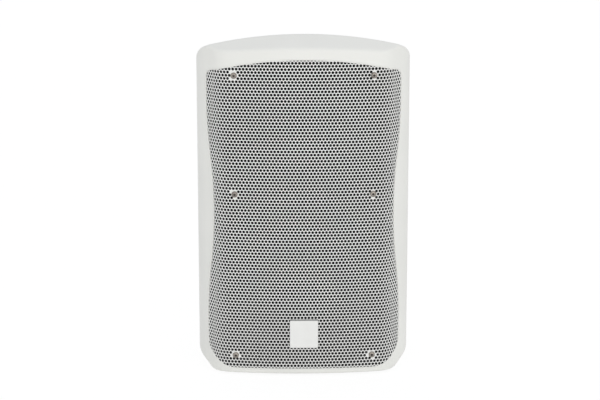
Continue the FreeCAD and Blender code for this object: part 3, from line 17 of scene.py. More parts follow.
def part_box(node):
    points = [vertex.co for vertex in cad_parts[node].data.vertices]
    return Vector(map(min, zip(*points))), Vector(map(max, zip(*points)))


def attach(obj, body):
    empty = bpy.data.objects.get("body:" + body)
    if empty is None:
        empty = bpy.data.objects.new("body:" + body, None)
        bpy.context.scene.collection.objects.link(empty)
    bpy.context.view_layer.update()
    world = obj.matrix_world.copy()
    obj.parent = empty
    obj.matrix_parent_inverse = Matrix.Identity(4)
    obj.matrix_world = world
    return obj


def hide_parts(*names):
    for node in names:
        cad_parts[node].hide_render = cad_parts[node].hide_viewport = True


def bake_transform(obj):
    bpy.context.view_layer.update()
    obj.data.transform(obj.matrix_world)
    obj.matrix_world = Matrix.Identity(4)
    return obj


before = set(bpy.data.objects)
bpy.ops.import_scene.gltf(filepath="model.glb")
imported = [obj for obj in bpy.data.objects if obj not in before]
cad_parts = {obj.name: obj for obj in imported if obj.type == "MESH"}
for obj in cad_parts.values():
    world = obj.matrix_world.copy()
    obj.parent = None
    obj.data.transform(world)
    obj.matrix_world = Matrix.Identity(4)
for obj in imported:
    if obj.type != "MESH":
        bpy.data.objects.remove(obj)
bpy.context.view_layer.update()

MM = 0.001
scene = bpy.context.scene
scene.view_settings.view_transform = "Standard"
bpy.ops.object.select_all(action="DESELECT")

# %% [markdown]
# ## Camera
# The photograph was taken from a little above the grille's middle, nearly square to the front. A long lens
# far away keeps the sides nearly parallel, so the lens and the distance are set first and everything else
# is judged through them.

# %% Camera
LOOK_DOWN = radians(13.0)
LOOK_ASIDE = radians(1.0)
CAMERA_DISTANCE = 2.6
LENS = 113.1
aim = Vector((-0.0030, 0.0, 0.2124))
sight = Vector((sin(LOOK_ASIDE) * cos(LOOK_DOWN), cos(LOOK_ASIDE) * cos(LOOK_DOWN), -sin(LOOK_DOWN)))
bpy.ops.object.camera_add(
    location=aim - sight * CAMERA_DISTANCE,
    rotation=(pi / 2 - LOOK_DOWN, 0.0, -LOOK_ASIDE),
)
camera = bpy.context.object
camera.name = "camera"
camera.data.lens = LENS
camera.data.sensor_width = 36.0
scene.camera = camera
print("camera at", [round(v, 3) for v in camera.location])

# %% [markdown]
# ## Light and floor
# The picture has flat, soft light from the front, on pure white. An even world gives the fill, and one
# large panel near the camera makes the front a little brighter than the sides. The world looks pure white
# to the camera and to reflections, and lights the object with less: warm low down, cool overhead.

# %% World
WORLD_FILL = 0.77
LOW_SKY, HIGH_SKY, WHITE = (1.0, 0.99, 0.96, 1.0), (0.94, 0.97, 1.03, 1.0), (1.0, 1.0, 1.0, 1.0)
MIX_A, MIX_B, MIX_RESULT = 6, 7, 2  # the colour sockets of a Mix node
world = bpy.data.worlds.new("studio_world")
scene.world = world
world.use_nodes = True
world_nodes, world_links = world.node_tree.nodes, world.node_tree.links


def seen_directly(nodes, links):
    """1 for what the camera, a mirror or a window sees, and 0 for light that falls on the object."""
    path = nodes.new("ShaderNodeLightPath")
    seen = path.outputs["Is Camera Ray"]
    for ray in ("Is Glossy Ray", "Is Transmission Ray"):
        either = nodes.new("ShaderNodeMath")
        either.operation = "MAXIMUM"
        links.new(seen, either.inputs[0])
        links.new(path.outputs[ray], either.inputs[1])
        seen = either.outputs[0]
    return seen


background = world_nodes["Background"]
heading = world_nodes.new("ShaderNodeTexCoord")
upright = world_nodes.new("ShaderNodeSeparateXYZ")
sky = world_nodes.new("ShaderNodeValToRGB")
sky.color_ramp.elements[0].color = LOW_SKY
sky.color_ramp.elements[1].color = HIGH_SKY
world_links.new(heading.outputs["Generated"], upright.inputs["Vector"])
world_links.new(upright.outputs["Z"], sky.inputs["Fac"])
lit = seen_directly(world_nodes, world_links)
plain = world_nodes.new("ShaderNodeMix")
plain.data_type = "RGBA"
plain.inputs[MIX_B].default_value = WHITE
world_links.new(lit, plain.inputs["Factor"])
world_links.new(sky.outputs["Color"], plain.inputs[MIX_A])
world_links.new(plain.outputs[MIX_RESULT], background.inputs["Color"])
level = world_nodes.new("ShaderNodeMapRange")
level.inputs["To Min"].default_value = WORLD_FILL
level.inputs["To Max"].default_value = 1.0
world_links.new(lit, level.inputs["Value"])
world_links.new(level.outputs["Result"], background.inputs["Strength"])
print("world fill", WORLD_FILL)

# %% [markdown]
# ### The panel in front
# A large soft box stands near the camera, a little to the right. Its size keeps the shadows soft, and its
# place makes the right side of the cabinet slightly lighter than the left, as in the picture.

# %% Front panel light
FRONT_LEVEL = 0.29
PANEL_DISTANCE = 2.4
PANEL_WIDTH, PANEL_HEIGHT = 2.2, 1.6
panel_at = Vector((0.55, -PANEL_DISTANCE, 0.45))
panel_aim = Vector((0.0, 0.0, 0.22))
bpy.ops.object.light_add(type="AREA", location=panel_at)
front_panel = bpy.context.object
front_panel.name = "front_panel"
front_panel.data.shape = "RECTANGLE"
front_panel.data.size = PANEL_WIDTH
front_panel.data.size_y = PANEL_HEIGHT
front_panel.data.color = (1.0, 0.985, 0.95)
front_panel.data.energy = FRONT_LEVEL * pi * pi * PANEL_DISTANCE ** 2
front_panel.rotation_euler = (panel_aim - panel_at).to_track_quat("-Z", "Y").to_euler()
print("front panel power", round(front_panel.data.energy, 1))

# %% [markdown]
# ### The floor
# A sheet of white paper runs out of sight. To the camera most of it is an even glow, so that it melts into
# the white ground, and the rest is real paper, which keeps the shadow under the cabinet. A small share of
# the glow also lights the object from below, as bright paper does.

# %% Floor
FLOOR_SIZE, FLOOR_WHITENING, FLOOR_BOUNCE, GLOW_STRENGTH = 40.0, 0.86, 0.12, 1.06
bpy.ops.mesh.primitive_plane_add(size=FLOOR_SIZE, location=(0.0, 0.0, 0.0))
floor = bpy.context.object
floor.name = "floor"
floor_paper = bpy.data.materials.new("floor_paper")
floor_paper.use_nodes = True
floor_nodes, floor_links = floor_paper.node_tree.nodes, floor_paper.node_tree.links
paper = floor_nodes["Principled BSDF"]
paper.inputs["Base Color"].default_value = (0.86, 0.86, 0.85, 1.0)
paper.inputs["Roughness"].default_value = 0.9
glow = floor_nodes.new("ShaderNodeEmission")
glow.inputs["Strength"].default_value = GLOW_STRENGTH
share = floor_nodes.new("ShaderNodeMapRange")
share.inputs["To Min"].default_value = FLOOR_BOUNCE
share.inputs["To Max"].default_value = FLOOR_WHITENING
blend_in = floor_nodes.new("ShaderNodeMixShader")
floor_links.new(seen_directly(floor_nodes, floor_links), share.inputs["Value"])
floor_links.new(share.outputs["Result"], blend_in.inputs["Fac"])
floor_links.new(paper.outputs["BSDF"], blend_in.inputs[1])
floor_links.new(glow.outputs["Emission"], blend_in.inputs[2])
floor_links.new(blend_in.outputs["Shader"], floor_nodes["Material Output"].inputs["Surface"])
floor.data.materials.append(floor_paper)
print("floor laid")

# %% [markdown]
# ## Finishes
# Every finish starts from one shader with its plain colour and gloss. Patterns on Object coordinates are
# then laid over it: a tint that wanders, a gloss that varies, a relief at the size of the real surface.
# Object coordinates are metres here, so a noise scale of 1000 has features of about a millimetre.

# %% Tools for finishes


def tone(red, green, blue):
    """A colour given as it looks on a screen, 0 to 255, as the shader wants it."""
    def straight(value):
        value = value / 255.0
        return value / 12.92 if value <= 0.04045 else ((value + 0.055) / 1.055) ** 2.4
    return (straight(red), straight(green), straight(blue), 1.0)


def new_finish(name, colour, roughness, metallic=0.0):
    """A finish with its plain colour, gloss and metal."""
    finish = bpy.data.materials.new(name)
    finish.use_nodes = True
    shader = finish.node_tree.nodes["Principled BSDF"]
    shader.inputs["Base Color"].default_value = colour
    shader.inputs["Roughness"].default_value = roughness
    shader.inputs["Metallic"].default_value = metallic
    return finish


def pattern(finish, kind, scale, stretch=(1.0, 1.0, 1.0), output=0, **settings):
    """One texture of a finish, on Object coordinates, and the socket that gives it."""
    nodes, links = finish.node_tree.nodes, finish.node_tree.links
    place = nodes.new("ShaderNodeTexCoord")
    turn = nodes.new("ShaderNodeMapping")
    turn.inputs["Scale"].default_value = stretch
    made = nodes.new(kind)
    made.inputs["Scale"].default_value = scale
    for name, value in settings.items():
        if name in made.inputs:
            made.inputs[name].default_value = value
        else:
            setattr(made, name, value)
    links.new(place.outputs["Object"], turn.inputs["Vector"])
    links.new(turn.outputs["Vector"], made.inputs["Vector"])
    return made.outputs[output]


def noise(finish, scale, detail=3.0, stretch=(1.0, 1.0, 1.0)):
    """Clouds, or streaks where they are stretched."""
    return pattern(finish, "ShaderNodeTexNoise", scale, stretch, "Fac", Detail=detail)


def bands(finish, scale, direction, distortion=0.0):
    """Even bands across one axis, for threads and turns of wire."""
    return pattern(
        finish, "ShaderNodeTexWave", scale, output="Fac", bands_direction=direction, Distortion=distortion
    )


def together(finish, one, two, way="MULTIPLY"):
    """Two patterns made one."""
    joined = finish.node_tree.nodes.new("ShaderNodeMath")
    joined.operation = way
    finish.node_tree.links.new(one, joined.inputs[0])
    finish.node_tree.links.new(two, joined.inputs[1])
    return joined.outputs[0]


def tint(finish, source, first, second, low=0.3, high=0.7):
    """The colour goes from first to second as the pattern goes from low to high."""
    nodes, links = finish.node_tree.nodes, finish.node_tree.links
    ramp = nodes.new("ShaderNodeValToRGB")
    ramp.color_ramp.elements[0].position = low
    ramp.color_ramp.elements[0].color = first
    ramp.color_ramp.elements[1].position = high
    ramp.color_ramp.elements[1].color = second
    links.new(source, ramp.inputs["Fac"])
    links.new(ramp.outputs["Color"], nodes["Principled BSDF"].inputs["Base Color"])


def gloss(finish, source, low, high):
    """The roughness goes from low to high with the pattern."""
    nodes, links = finish.node_tree.nodes, finish.node_tree.links
    spread = nodes.new("ShaderNodeMapRange")
    spread.inputs["To Min"].default_value = low
    spread.inputs["To Max"].default_value = high
    links.new(source, spread.inputs["Value"])
    links.new(spread.outputs["Result"], nodes["Principled BSDF"].inputs["Roughness"])


def relief(finish, source, depth, strength=1.0):
    """Bump of a given depth in metres. A second relief lies over the first."""
    nodes, links = finish.node_tree.nodes, finish.node_tree.links
    normal = nodes["Principled BSDF"].inputs["Normal"]
    bump = nodes.new("ShaderNodeBump")
    bump.inputs["Distance"].default_value = depth
    bump.inputs["Strength"].default_value = strength
    links.new(source, bump.inputs["Height"])
    if normal.is_linked:
        links.new(normal.links[0].from_socket, bump.inputs["Normal"])
    links.new(bump.outputs["Normal"], normal)


finishes = {}
print("tools for finishes ready")

# %% [markdown]
# ### White plastic and white paint
# The cabinet is moulded from white plastic in a tool with an eroded, finely pebbled surface, so its gloss
# is broken up and its edges stay soft. The grille is steel with a powder coat: a touch whiter and glossier,
# with the faint orange peel of paint that has melted and flowed.

# %% White finishes
cabinet = new_finish("moulded_white_plastic", tone(238, 238, 234), 0.5)
tint(cabinet, noise(cabinet, 9.0, 2.0), tone(235, 235, 231), tone(240, 240, 236))
gloss(cabinet, noise(cabinet, 420.0), 0.42, 0.58)
relief(cabinet, noise(cabinet, 1300.0, 2.0), 0.00006, 0.35)
finishes["cabinet_plastic"] = cabinet

powder = new_finish("powder_coated_white_steel", tone(243, 243, 241), 0.4)
tint(powder, noise(powder, 14.0, 2.0), tone(240, 240, 238), tone(245, 245, 243))
gloss(powder, noise(powder, 300.0), 0.34, 0.46)
relief(powder, noise(powder, 520.0, 1.0), 0.00004, 0.3)
finishes["grille_paint"] = powder

badge_white = new_finish("smooth_white_badge", tone(240, 240, 238), 0.32)
tint(badge_white, noise(badge_white, 30.0), tone(238, 238, 236), tone(242, 242, 240))
gloss(badge_white, noise(badge_white, 260.0), 0.27, 0.38)
relief(badge_white, noise(badge_white, 900.0, 1.0), 0.00002, 0.25)
finishes["badge_plastic"] = badge_white
print("white finishes:", cabinet.name, powder.name, badge_white.name)

# %% [markdown]
# ### Black plastics, rubber and foam
# What sits behind the grille and on the back is black. Each black differs in its surface: the foam is all
# open cells, rubber is dull with a faint bloom, moulded black has a fine pebble, painted steel a soft
# gloss. A table gives each one's slot, name, two tones, roughness, pebble scale and pebble depth.

# %% Black finishes


def black_finish(slot, name, colour, paler, rough, scale, depth):
    """A black surface with a wandering tint, a varied gloss and a pebble of its own size."""
    made = new_finish(name, tone(*colour), rough)
    tint(made, noise(made, scale / 18.0), tone(*colour), tone(*paler))
    gloss(made, noise(made, scale / 4.0), rough - 0.08, rough + 0.08)
    relief(made, noise(made, scale, 2.0), depth, 0.5)
    finishes[slot] = made


for row in (
    ("gasket_rubber", "black_gasket_rubber", (26, 26, 27), (36, 36, 36), 0.78, 900.0, 0.0001),
    ("surround_rubber", "dull_surround_rubber", (23, 23, 24), (31, 31, 31), 0.62, 700.0, 0.00005),
    ("foot_rubber", "ribbed_foot_rubber", (27, 27, 27), (38, 38, 37), 0.8, 800.0, 0.0001),
    ("frame_paint", "black_frame_paint", (25, 25, 27), (33, 33, 35), 0.45, 600.0, 0.00008),
    ("horn_plastic", "black_horn_plastic", (24, 24, 26), (30, 30, 32), 0.48, 1100.0, 0.00006),
    ("panel_paint", "black_panel_paint", (30, 30, 32), (38, 38, 40), 0.5, 1000.0, 0.00008),
    ("socket_plastic", "black_socket_plastic", (27, 28, 32), (35, 36, 40), 0.4, 1300.0, 0.00004),
    ("cup_plastic", "black_cup_plastic", (28, 28, 30), (36, 36, 38), 0.52, 1200.0, 0.00007),
    ("ferrite", "sintered_ferrite", (50, 50, 53), (68, 67, 68), 0.72, 1400.0, 0.00008),
    ("foam", "open_cell_foam", (13, 13, 14), (24, 24, 25), 0.9, 700.0, 0.0003),
    ("cone_paper", "pressed_cone_paper", (32, 31, 30), (48, 46, 44), 0.85, 500.0, 0.0001),
):
    black_finish(*row)
foam, cone = finishes["foam"], finishes["cone_paper"]
relief(foam, pattern(foam, "ShaderNodeTexVoronoi", 900.0, output="Distance"), 0.0006, 0.9)
relief(cone, noise(cone, 260.0, 4.0, (1.0, 4.0, 1.0)), 0.0002, 0.5)
print("finishes so far:", len(finishes))

# %% [markdown]
# ### Metals
# Bare metal shows its making: turned or drawn steel has fine streaks, the winding shows its turns, brass
# has dulled in patches. The streaks are noise stretched along one axis, and the turns are bands across it.
# The table gives slot, name, tone, duller tone, roughness and stretch.

# %% Metal finishes


def metal_finish(slot, name, colour, duller, rough, stretch):
    """Metal with streaks along one axis and a tint that wanders."""
    made = new_finish(name, tone(*colour), rough, 1.0)
    tint(made, noise(made, 60.0), tone(*duller), tone(*colour))
    streaks = noise(made, 500.0, 3.0, stretch)
    gloss(made, streaks, rough - 0.07, rough + 0.1)
    relief(made, streaks, 0.00002, 0.3)
    finishes[slot] = made


for row in (
    # The screw steel's tone is darker and browner than bare stainless: a painted reflection of a dim
    # studio.
    ("screw_steel", "stainless_screw_steel", (158, 152, 145), (128, 122, 116), 0.3, (1.0, 1.0, 5.0)),
    ("motor_steel", "plated_motor_steel", (178, 178, 172), (158, 156, 148), 0.36, (1.0, 6.0, 1.0)),
    ("former_metal", "coil_former_metal", (198, 199, 202), (178, 179, 182), 0.34, (1.0, 8.0, 1.0)),
    ("dome_metal", "formed_dome_metal", (212, 212, 215), (198, 198, 202), 0.26, (1.0, 1.0, 1.0)),
    ("insert_brass", "turned_insert_brass", (196, 160, 92), (166, 128, 66), 0.32, (1.0, 6.0, 1.0)),
    ("coil_wire", "enamelled_coil_wire", (178, 104, 58), (150, 82, 42), 0.3, (1.0, 1.0, 1.0)),
):
    metal_finish(*row)
winding = finishes["coil_wire"]
relief(winding, bands(winding, 400.0, "Y"), 0.0001, 0.9)
print("finishes so far:", len(finishes))

# %% [markdown]
# ### Cloth, board and the rest
# The spider is a woven cloth stiffened with resin, the crossover sits on green laminate whose glass weave
# shows through, and the wadding is matted fibre. Crossed bands make a weave, stretched noise makes fibres.

# %% Inner finishes
weave = new_finish("resin_stiffened_cloth", tone(176, 140, 88), 0.85)
threads = together(weave, bands(weave, 260.0, "X", 0.6), bands(weave, 260.0, "Z", 0.6), "ADD")
tint(weave, threads, tone(138, 104, 62), tone(190, 154, 102), 0.4, 1.4)
relief(weave, threads, 0.0002, 0.8)
finishes["spider_cloth"] = weave

laminate = new_finish("green_board_laminate", tone(34, 84, 56), 0.4)
glass = together(laminate, bands(laminate, 300.0, "X"), bands(laminate, 300.0, "Z"), "MAXIMUM")
tint(laminate, glass, tone(28, 74, 48), tone(40, 92, 62))
relief(laminate, glass, 0.00004, 0.5)
finishes["board_laminate"] = laminate

wrapping = new_finish("film_can_wrapping", tone(186, 148, 52), 0.35)
tint(wrapping, noise(wrapping, 120.0), tone(172, 134, 44), tone(196, 158, 62))
relief(wrapping, noise(wrapping, 240.0, 2.0), 0.0001, 0.4)
finishes["can_film"] = wrapping

ceramic = new_finish("cement_resistor_body", tone(222, 218, 206), 0.75)
tint(ceramic, noise(ceramic, 500.0), tone(206, 202, 190), tone(228, 224, 214))
relief(ceramic, noise(ceramic, 900.0), 0.0001, 0.6)
finishes["resistor_body"] = ceramic

fibres = new_finish("matted_wadding", tone(224, 221, 212), 1.0)
upright_strands = noise(fibres, 300.0, 4.0, (1.0, 1.0, 6.0))
level_strands = noise(fibres, 300.0, 4.0, (6.0, 1.0, 1.0))
strands = together(fibres, upright_strands, level_strands, "MAXIMUM")
tint(fibres, strands, tone(202, 198, 188), tone(234, 232, 224), 0.35, 0.75)
relief(fibres, strands, 0.0008, 0.9)
finishes["wadding"] = fibres
print("finishes in all:", len(finishes))

# %% [markdown]
# ### Finishes on the solids
# Every solid came in with empty materials named after their slots. Each one is exchanged for the finish of
# that name, so that no solid is left plain.

# %% Give every CAD node its finish
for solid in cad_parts.values():
    for holder in solid.material_slots:
        holder.material = finishes[holder.material.name.split(".")[0]]
print("nodes finished:", len(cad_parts))

# %% [markdown]
# ## The grille's line
# The grille is a steel sheet, punched flat and then rolled to the cabinet's plan: a shallow bow across the
# front, a tight bend on each side and a short raked flank. Punching happens in the flat, so the sheet is
# drawn flat here as well, with the distance along the sheet in place of x, and rolled at the end. That is
# why the holes keep their pitch on the metal and crowd together only as they turn away.

# %% The sheet's plan and its outline, in millimetres
FACE_Y = -128.0
BOW_RADIUS, BOW_HALF = 590.0, 98.0
BEND_RADIUS, FLANK = 35.0, radians(48.0)
SHEET_HALF, WAIST_SWING = 127.7, 8.7
SHEET_LOW, SHEET_TOP = 10.2, 426.7
WAIST_Z, WAIST_REACH = 224.0, 150.0
ARCH_RADIUS, UPPER_CORNER, LOWER_CORNER = 480.0, 9.5, 25.0
BASE_STEPS, HEEL_STEPS, SWEEP_STEPS, CORNER_STEPS, ARCH_STEPS = 40, 14, 16, 8, 32
SAME_SPOT = 0.05
bow_turn = asin(BOW_HALF / BOW_RADIUS)
bow_run = BOW_RADIUS * bow_turn
bend_run = bow_run + BEND_RADIUS * (FLANK - bow_turn)
bow_y = FACE_Y + BOW_RADIUS * (1 - cos(bow_turn))
bend_x = BOW_HALF + BEND_RADIUS * (sin(FLANK) - sin(bow_turn))
bend_y = bow_y + BEND_RADIUS * (cos(bow_turn) - cos(FLANK))


def run_at(x):
    """Distance along the sheet from its middle to a place across the front."""
    reach = abs(x)
    if reach <= BOW_HALF:
        run = BOW_RADIUS * asin(reach / BOW_RADIUS)
    elif reach <= bend_x:
        turn = asin((reach - BOW_HALF) / BEND_RADIUS + sin(bow_turn))
        run = bow_run + BEND_RADIUS * (turn - bow_turn)
    else:
        run = bend_run + (reach - bend_x) / cos(FLANK)
    return run if x >= 0 else -run


def roll(run, depth):
    """Where a point of the flat sheet comes to lie: x and y, depth behind the front face."""
    reach = abs(run)
    if reach <= bow_run:
        turn = reach / BOW_RADIUS
        x, y = BOW_RADIUS * sin(turn), FACE_Y + BOW_RADIUS * (1 - cos(turn))
    elif reach <= bend_run:
        turn = bow_turn + (reach - bow_run) / BEND_RADIUS
        x = BOW_HALF + BEND_RADIUS * (sin(turn) - sin(bow_turn))
        y = bow_y + BEND_RADIUS * (cos(bow_turn) - cos(turn))
    else:
        turn = FLANK
        x, y = bend_x + (reach - bend_run) * cos(FLANK), bend_y + (reach - bend_run) * sin(FLANK)
    x, y = x - depth * sin(turn), y + depth * cos(turn)
    return (x if run >= 0 else -x), y


def arc(x, z, radius, start, end, steps):
    """Points on an arc, from one angle to another."""
    turns = [radians(start + (end - start) * k / steps) for k in range(steps + 1)]
    return [(x + radius * cos(t), z + radius * sin(t)) for t in turns]


def waisted_outline(grow=0.0, heel=LOWER_CORNER):
    """The grille's outline seen from the front, grown by a little, once round."""
    sweep = (WAIST_REACH ** 2 + WAIST_SWING ** 2) / (4 * WAIST_SWING)
    lean = degrees(asin(WAIST_REACH / 2 / sweep))
    corner_x = SHEET_HALF - UPPER_CORNER
    arch_z = SHEET_TOP - ARCH_RADIUS
    corner_z = arch_z + sqrt((ARCH_RADIUS - UPPER_CORNER) ** 2 - corner_x ** 2)
    corner_turn = degrees(atan2(corner_z - arch_z, corner_x))
    heel_x = SHEET_HALF - heel
    side = [(heel_x * k / BASE_STEPS, SHEET_LOW - grow) for k in range(BASE_STEPS)]
    side += arc(heel_x, SHEET_LOW + heel, heel + grow, -90, 0, HEEL_STEPS)
    side += arc(SHEET_HALF - sweep, WAIST_Z - WAIST_REACH, sweep + grow, 0, lean, SWEEP_STEPS)
    waist_x = SHEET_HALF - WAIST_SWING + sweep
    side += arc(waist_x, WAIST_Z, sweep - grow, 180 + lean, 180 - lean, 2 * SWEEP_STEPS)
    side += arc(SHEET_HALF - sweep, WAIST_Z + WAIST_REACH, sweep + grow, -lean, 0, SWEEP_STEPS)
    side += arc(corner_x, corner_z, UPPER_CORNER + grow, 0, corner_turn, CORNER_STEPS)
    side += arc(0, arch_z, ARCH_RADIUS + grow, corner_turn, 90, ARCH_STEPS)
    spaced = [side[0]]
    for point in side[1:]:
        if hypot(point[0] - spaced[-1][0], point[1] - spaced[-1][1]) > SAME_SPOT:
            spaced.append(point)
    return spaced + [(-x, z) for x, z in reversed(spaced)][1:-1]


def laid_flat(outline):
    """An outline seen from the front, laid out on the flat sheet."""
    return [(run_at(x), z) for x, z in outline]


flat_outline = laid_flat(waisted_outline())
print("sheet laid flat is", round(2 * max(run for run, z in flat_outline), 1), "mm wide")

# %% [markdown]
# ## Punching the holes
# The holes stand in staggered rows and run on to the sheet's edge, which cuts through the outermost. A few
# are left out round each screw and behind the badge, and a slot above the badge takes its clip. Over five
# thousand holes by booleans would take minutes, so the flat sheet is triangulated once with all its hole
# edges given, and the faces inside the holes are dropped.

# %% Places of the holes
HOLE_PITCH, ROW_STEP, HOLE_RADIUS, HOLE_SIDES = 4.554, 4.165, 2.1, 7
FIRST_ROW_Z, ROWS, COLUMNS_ASIDE = 1.91, 103, 33
PATTERN_LEAN, PATTERN_SHIFT = 0.0132, -0.5
SCREW_MARGIN, BADGE_MARGIN = 5.6, 16.8
SCREW_X, SCREW_ROWS = 91.0, (28.0, 248.4, 405.8)
BADGE_Z, BADGE_SIDE = 59.2, 37.6
edge_from = np.array(flat_outline)
edge_along = np.roll(edge_from, -1, 0) - edge_from
screws_flat = [(side * run_at(SCREW_X), z) for side in (-1, 1) for z in SCREW_ROWS]
hole_turns = [2 * pi * (k + 0.5) / HOLE_SIDES for k in range(HOLE_SIDES)]
hole_ring = [(HOLE_RADIUS * cos(t), HOLE_RADIUS * sin(t)) for t in hole_turns]


def inside_outline(run, z):
    """True inside the flat outline."""
    ends = edge_from + edge_along
    crossing = (edge_from[:, 1] > z) != (ends[:, 1] > z)
    rise = np.where(crossing, edge_along[:, 1], 1.0)
    at = edge_from[:, 0] + (z - edge_from[:, 1]) / rise * edge_along[:, 0]
    return np.count_nonzero(crossing & (at > run)) % 2 == 1


holes = []
for row in range(ROWS):
    z = FIRST_ROW_Z + row * ROW_STEP
    for column in range(-COLUMNS_ASIDE, COLUMNS_ASIDE + 1):
        run = (column + 0.5 * (row % 2)) * HOLE_PITCH + PATTERN_SHIFT + PATTERN_LEAN * row
        by_screw = any(hypot(run - s, z - t) < SCREW_MARGIN for s, t in screws_flat)
        by_badge = max(abs(run), abs(z - BADGE_Z)) < BADGE_MARGIN
        reaches_in = any(inside_outline(run + u, z + v) for u, v in hole_ring + [(0.0, 0.0)])
        if reaches_in and not by_screw and not by_badge:
            holes.append((run, z))
print("holes in the grille:", len(holes))

# %% [markdown]
# ## From flat sheet to rolled sheet
# A sheet is made in the same way each time: a flat net of faces gets its thickness from a Solidify
# modifier, and then every point is carried to where the roll puts it. Written once, this serves the
# steel, the cloth behind it and the web of the lip.

# %% Tools for sheets
SHEET_SMOOTH = radians(60.0)


def take_up(piece):
    """Selects one piece alone and makes it the active one."""
    bpy.ops.object.select_all(action="DESELECT")
    piece.select_set(True)
    bpy.context.view_layer.objects.active = piece


def apply_all(piece):
    """Applies the piece's modifiers in their order."""
    take_up(piece)
    for name in [m.name for m in piece.modifiers]:
        bpy.ops.object.modifier_apply(modifier=name)


def face_outwards():
    """Turns all normals of the active piece outwards."""
    bpy.ops.object.mode_set(mode="EDIT")
    bpy.ops.mesh.select_all(action="SELECT")
    bpy.ops.mesh.normals_make_consistent(inside=False)
    bpy.ops.object.mode_set(mode="OBJECT")


def net_inside(rings, wanted, loose=(), near=1e-5):
    """Flat rings and loose points triangulated: the points, and the faces inside the wanted ring alone."""
    spots, numbers = [], []
    for ring in rings:
        numbers.append(list(range(len(spots), len(spots) + len(ring))))
        spots += [Vector(point) for point in ring]
    spots += [Vector(point) for point in loose]
    net, _, faces, _, _, inside = delaunay_2d_cdt(spots, [], numbers, 0, near)
    return net, [face for face, origin in zip(faces, inside) if list(origin) == [wanted]]


def rolled_sheet(name, points, faces, depth, thickness):
    """A flat net of faces made a sheet of some thickness, rolled to lie depth behind the face."""
    mesh = bpy.data.meshes.new(name)
    mesh.from_pydata([(x * MM, 0.0, z * MM) for x, z in points], [], faces)
    piece = bpy.data.objects.new(name, mesh)
    scene.collection.objects.link(piece)
    walls = piece.modifiers.new("thickness", "SOLIDIFY")
    walls.thickness = thickness * MM
    walls.offset = -1.0
    apply_all(piece)
    for v in piece.data.vertices:
        x, y = roll(v.co.x / MM, depth + abs(v.co.y) / MM)
        v.co = (x * MM, y * MM, v.co.z)
    face_outwards()
    bpy.ops.object.shade_smooth_by_angle(angle=SHEET_SMOOTH)
    return piece


print("tools for sheets ready")

# %% [markdown]
# ## The punched grille
# The rings of all holes, of the badge's clip slot and of the outline go in together. The net keeps only the
# faces that lie in the outline and in no hole, and the roll does the rest.

# %% The punched sheet
SHEET_THICKNESS = 0.9
badge_top = BADGE_Z + BADGE_SIDE / 2
SLOT_HALF, SLOT_LOW, SLOT_TOP = 17.6, badge_top - 1.0, badge_top + 0.7
rings = [[(run + u, z + v) for u, v in hole_ring] for run, z in holes]
slot_low, slot_high = [[(side * SLOT_HALF, z) for side in (-1, 1)] for z in (SLOT_LOW, SLOT_TOP)]
rings += [slot_low + slot_high[::-1], flat_outline]
steel_net, steel_faces = net_inside(rings, len(rings) - 1)
grille_sheet = rolled_sheet("grille_sheet", steel_net, steel_faces, 0.0, SHEET_THICKNESS)
grille_sheet.data.materials.append(finishes["grille_paint"])
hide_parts("grille")
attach(grille_sheet, "cabinet")
grille_sheet.data.calc_loop_triangles()
print("grille triangles:", len(grille_sheet.data.loop_triangles))

# %% [markdown]
# ## Acoustic cloth behind the grille
# A thin black cloth is glued to the steel's back, so that every hole looks black right up to the edge. It
# is cut to the grille's outline, a little smaller, and follows the same roll. A flat net of points fine
# enough for the bends is triangulated inside the outline, given its thickness and rolled like the steel.

# %% Acoustic cloth
CLOTH_INSET, CLOTH_DEPTH, CLOTH_THICKNESS = 0.7, 0.97, 0.16
CLOTH_STEP_ACROSS, CLOTH_STEP_UP = 2.4, 6.0
CLOTH_ASIDE, CLOTH_ROWS, NET_MARGIN = 56, 70, 1.03
SHANK_HOLE, SHANK_SIDES = 2.6, 10
cloth_outline = laid_flat(waisted_outline(-CLOTH_INSET))
shank_turns = [2 * pi * k / SHANK_SIDES for k in range(SHANK_SIDES)]
cloth_rings = [cloth_outline] + [
    [(run + SHANK_HOLE * cos(t), z + SHANK_HOLE * sin(t)) for t in shank_turns] for run, z in screws_flat
]
cloth_grid = [
    (across * CLOTH_STEP_ACROSS, SHEET_LOW + up * CLOTH_STEP_UP)
    for up in range(1, CLOTH_ROWS) for across in range(-CLOTH_ASIDE, CLOTH_ASIDE + 1)
]
loose = [(run, z) for run, z in cloth_grid if inside_outline(run * NET_MARGIN, z)]
cloth_net, cloth_faces = net_inside(cloth_rings, 0, loose)


grille_cloth = rolled_sheet("grille_cloth", cloth_net, cloth_faces, CLOTH_DEPTH, CLOTH_THICKNESS)
scrim = new_finish("black_acoustic_cloth", tone(9, 9, 10), 0.95)
scrim_threads = together(scrim, bands(scrim, 700.0, "X", 0.4), bands(scrim, 700.0, "Z", 0.4), "ADD")
tint(scrim, scrim_threads, tone(6, 6, 7), tone(14, 14, 15), 0.4, 1.5)
relief(scrim, scrim_threads, 0.0001, 0.7)
grille_cloth.data.materials.append(scrim)
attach(grille_cloth, "cabinet")

# %% [markdown]
# ## Softened mouldings
# The solids' two halves meet their brow, ridge and underside in crisp edges, while the real moulding is
# rounded there. A bevel needs clean edge loops, which a triangulated solid hasn't got. The cabinet's form
# is simple enough to write down instead: a plan, an arched front and a chamfered foot, each a chain of arcs
# and lines. A line's part holds a point on it or its centre, its radius (0 for a straight part) and the
# turn of its outward normal at both ends.

# %% The cabinet's outlines, in millimetres
RIDGE_Y, RIDGE_Z, TOP_ARCH, TOP_CORNER = -99.0, 457.0, 565.0, 14.0
BROW_LEAN, TOP_FALL = radians(28.3), radians(15.0)
HALF_WIDTH, SHOULDER, TAPER, REAR_CORNER, REAR_Y = 141.0, 47.4, radians(13.0), 14.0, 132.0
BELLY_Z, CHAMFER, FULL_CHAMFER, CHAMFER_SOFT = 3.0, 28.0, 20.0, 14.0


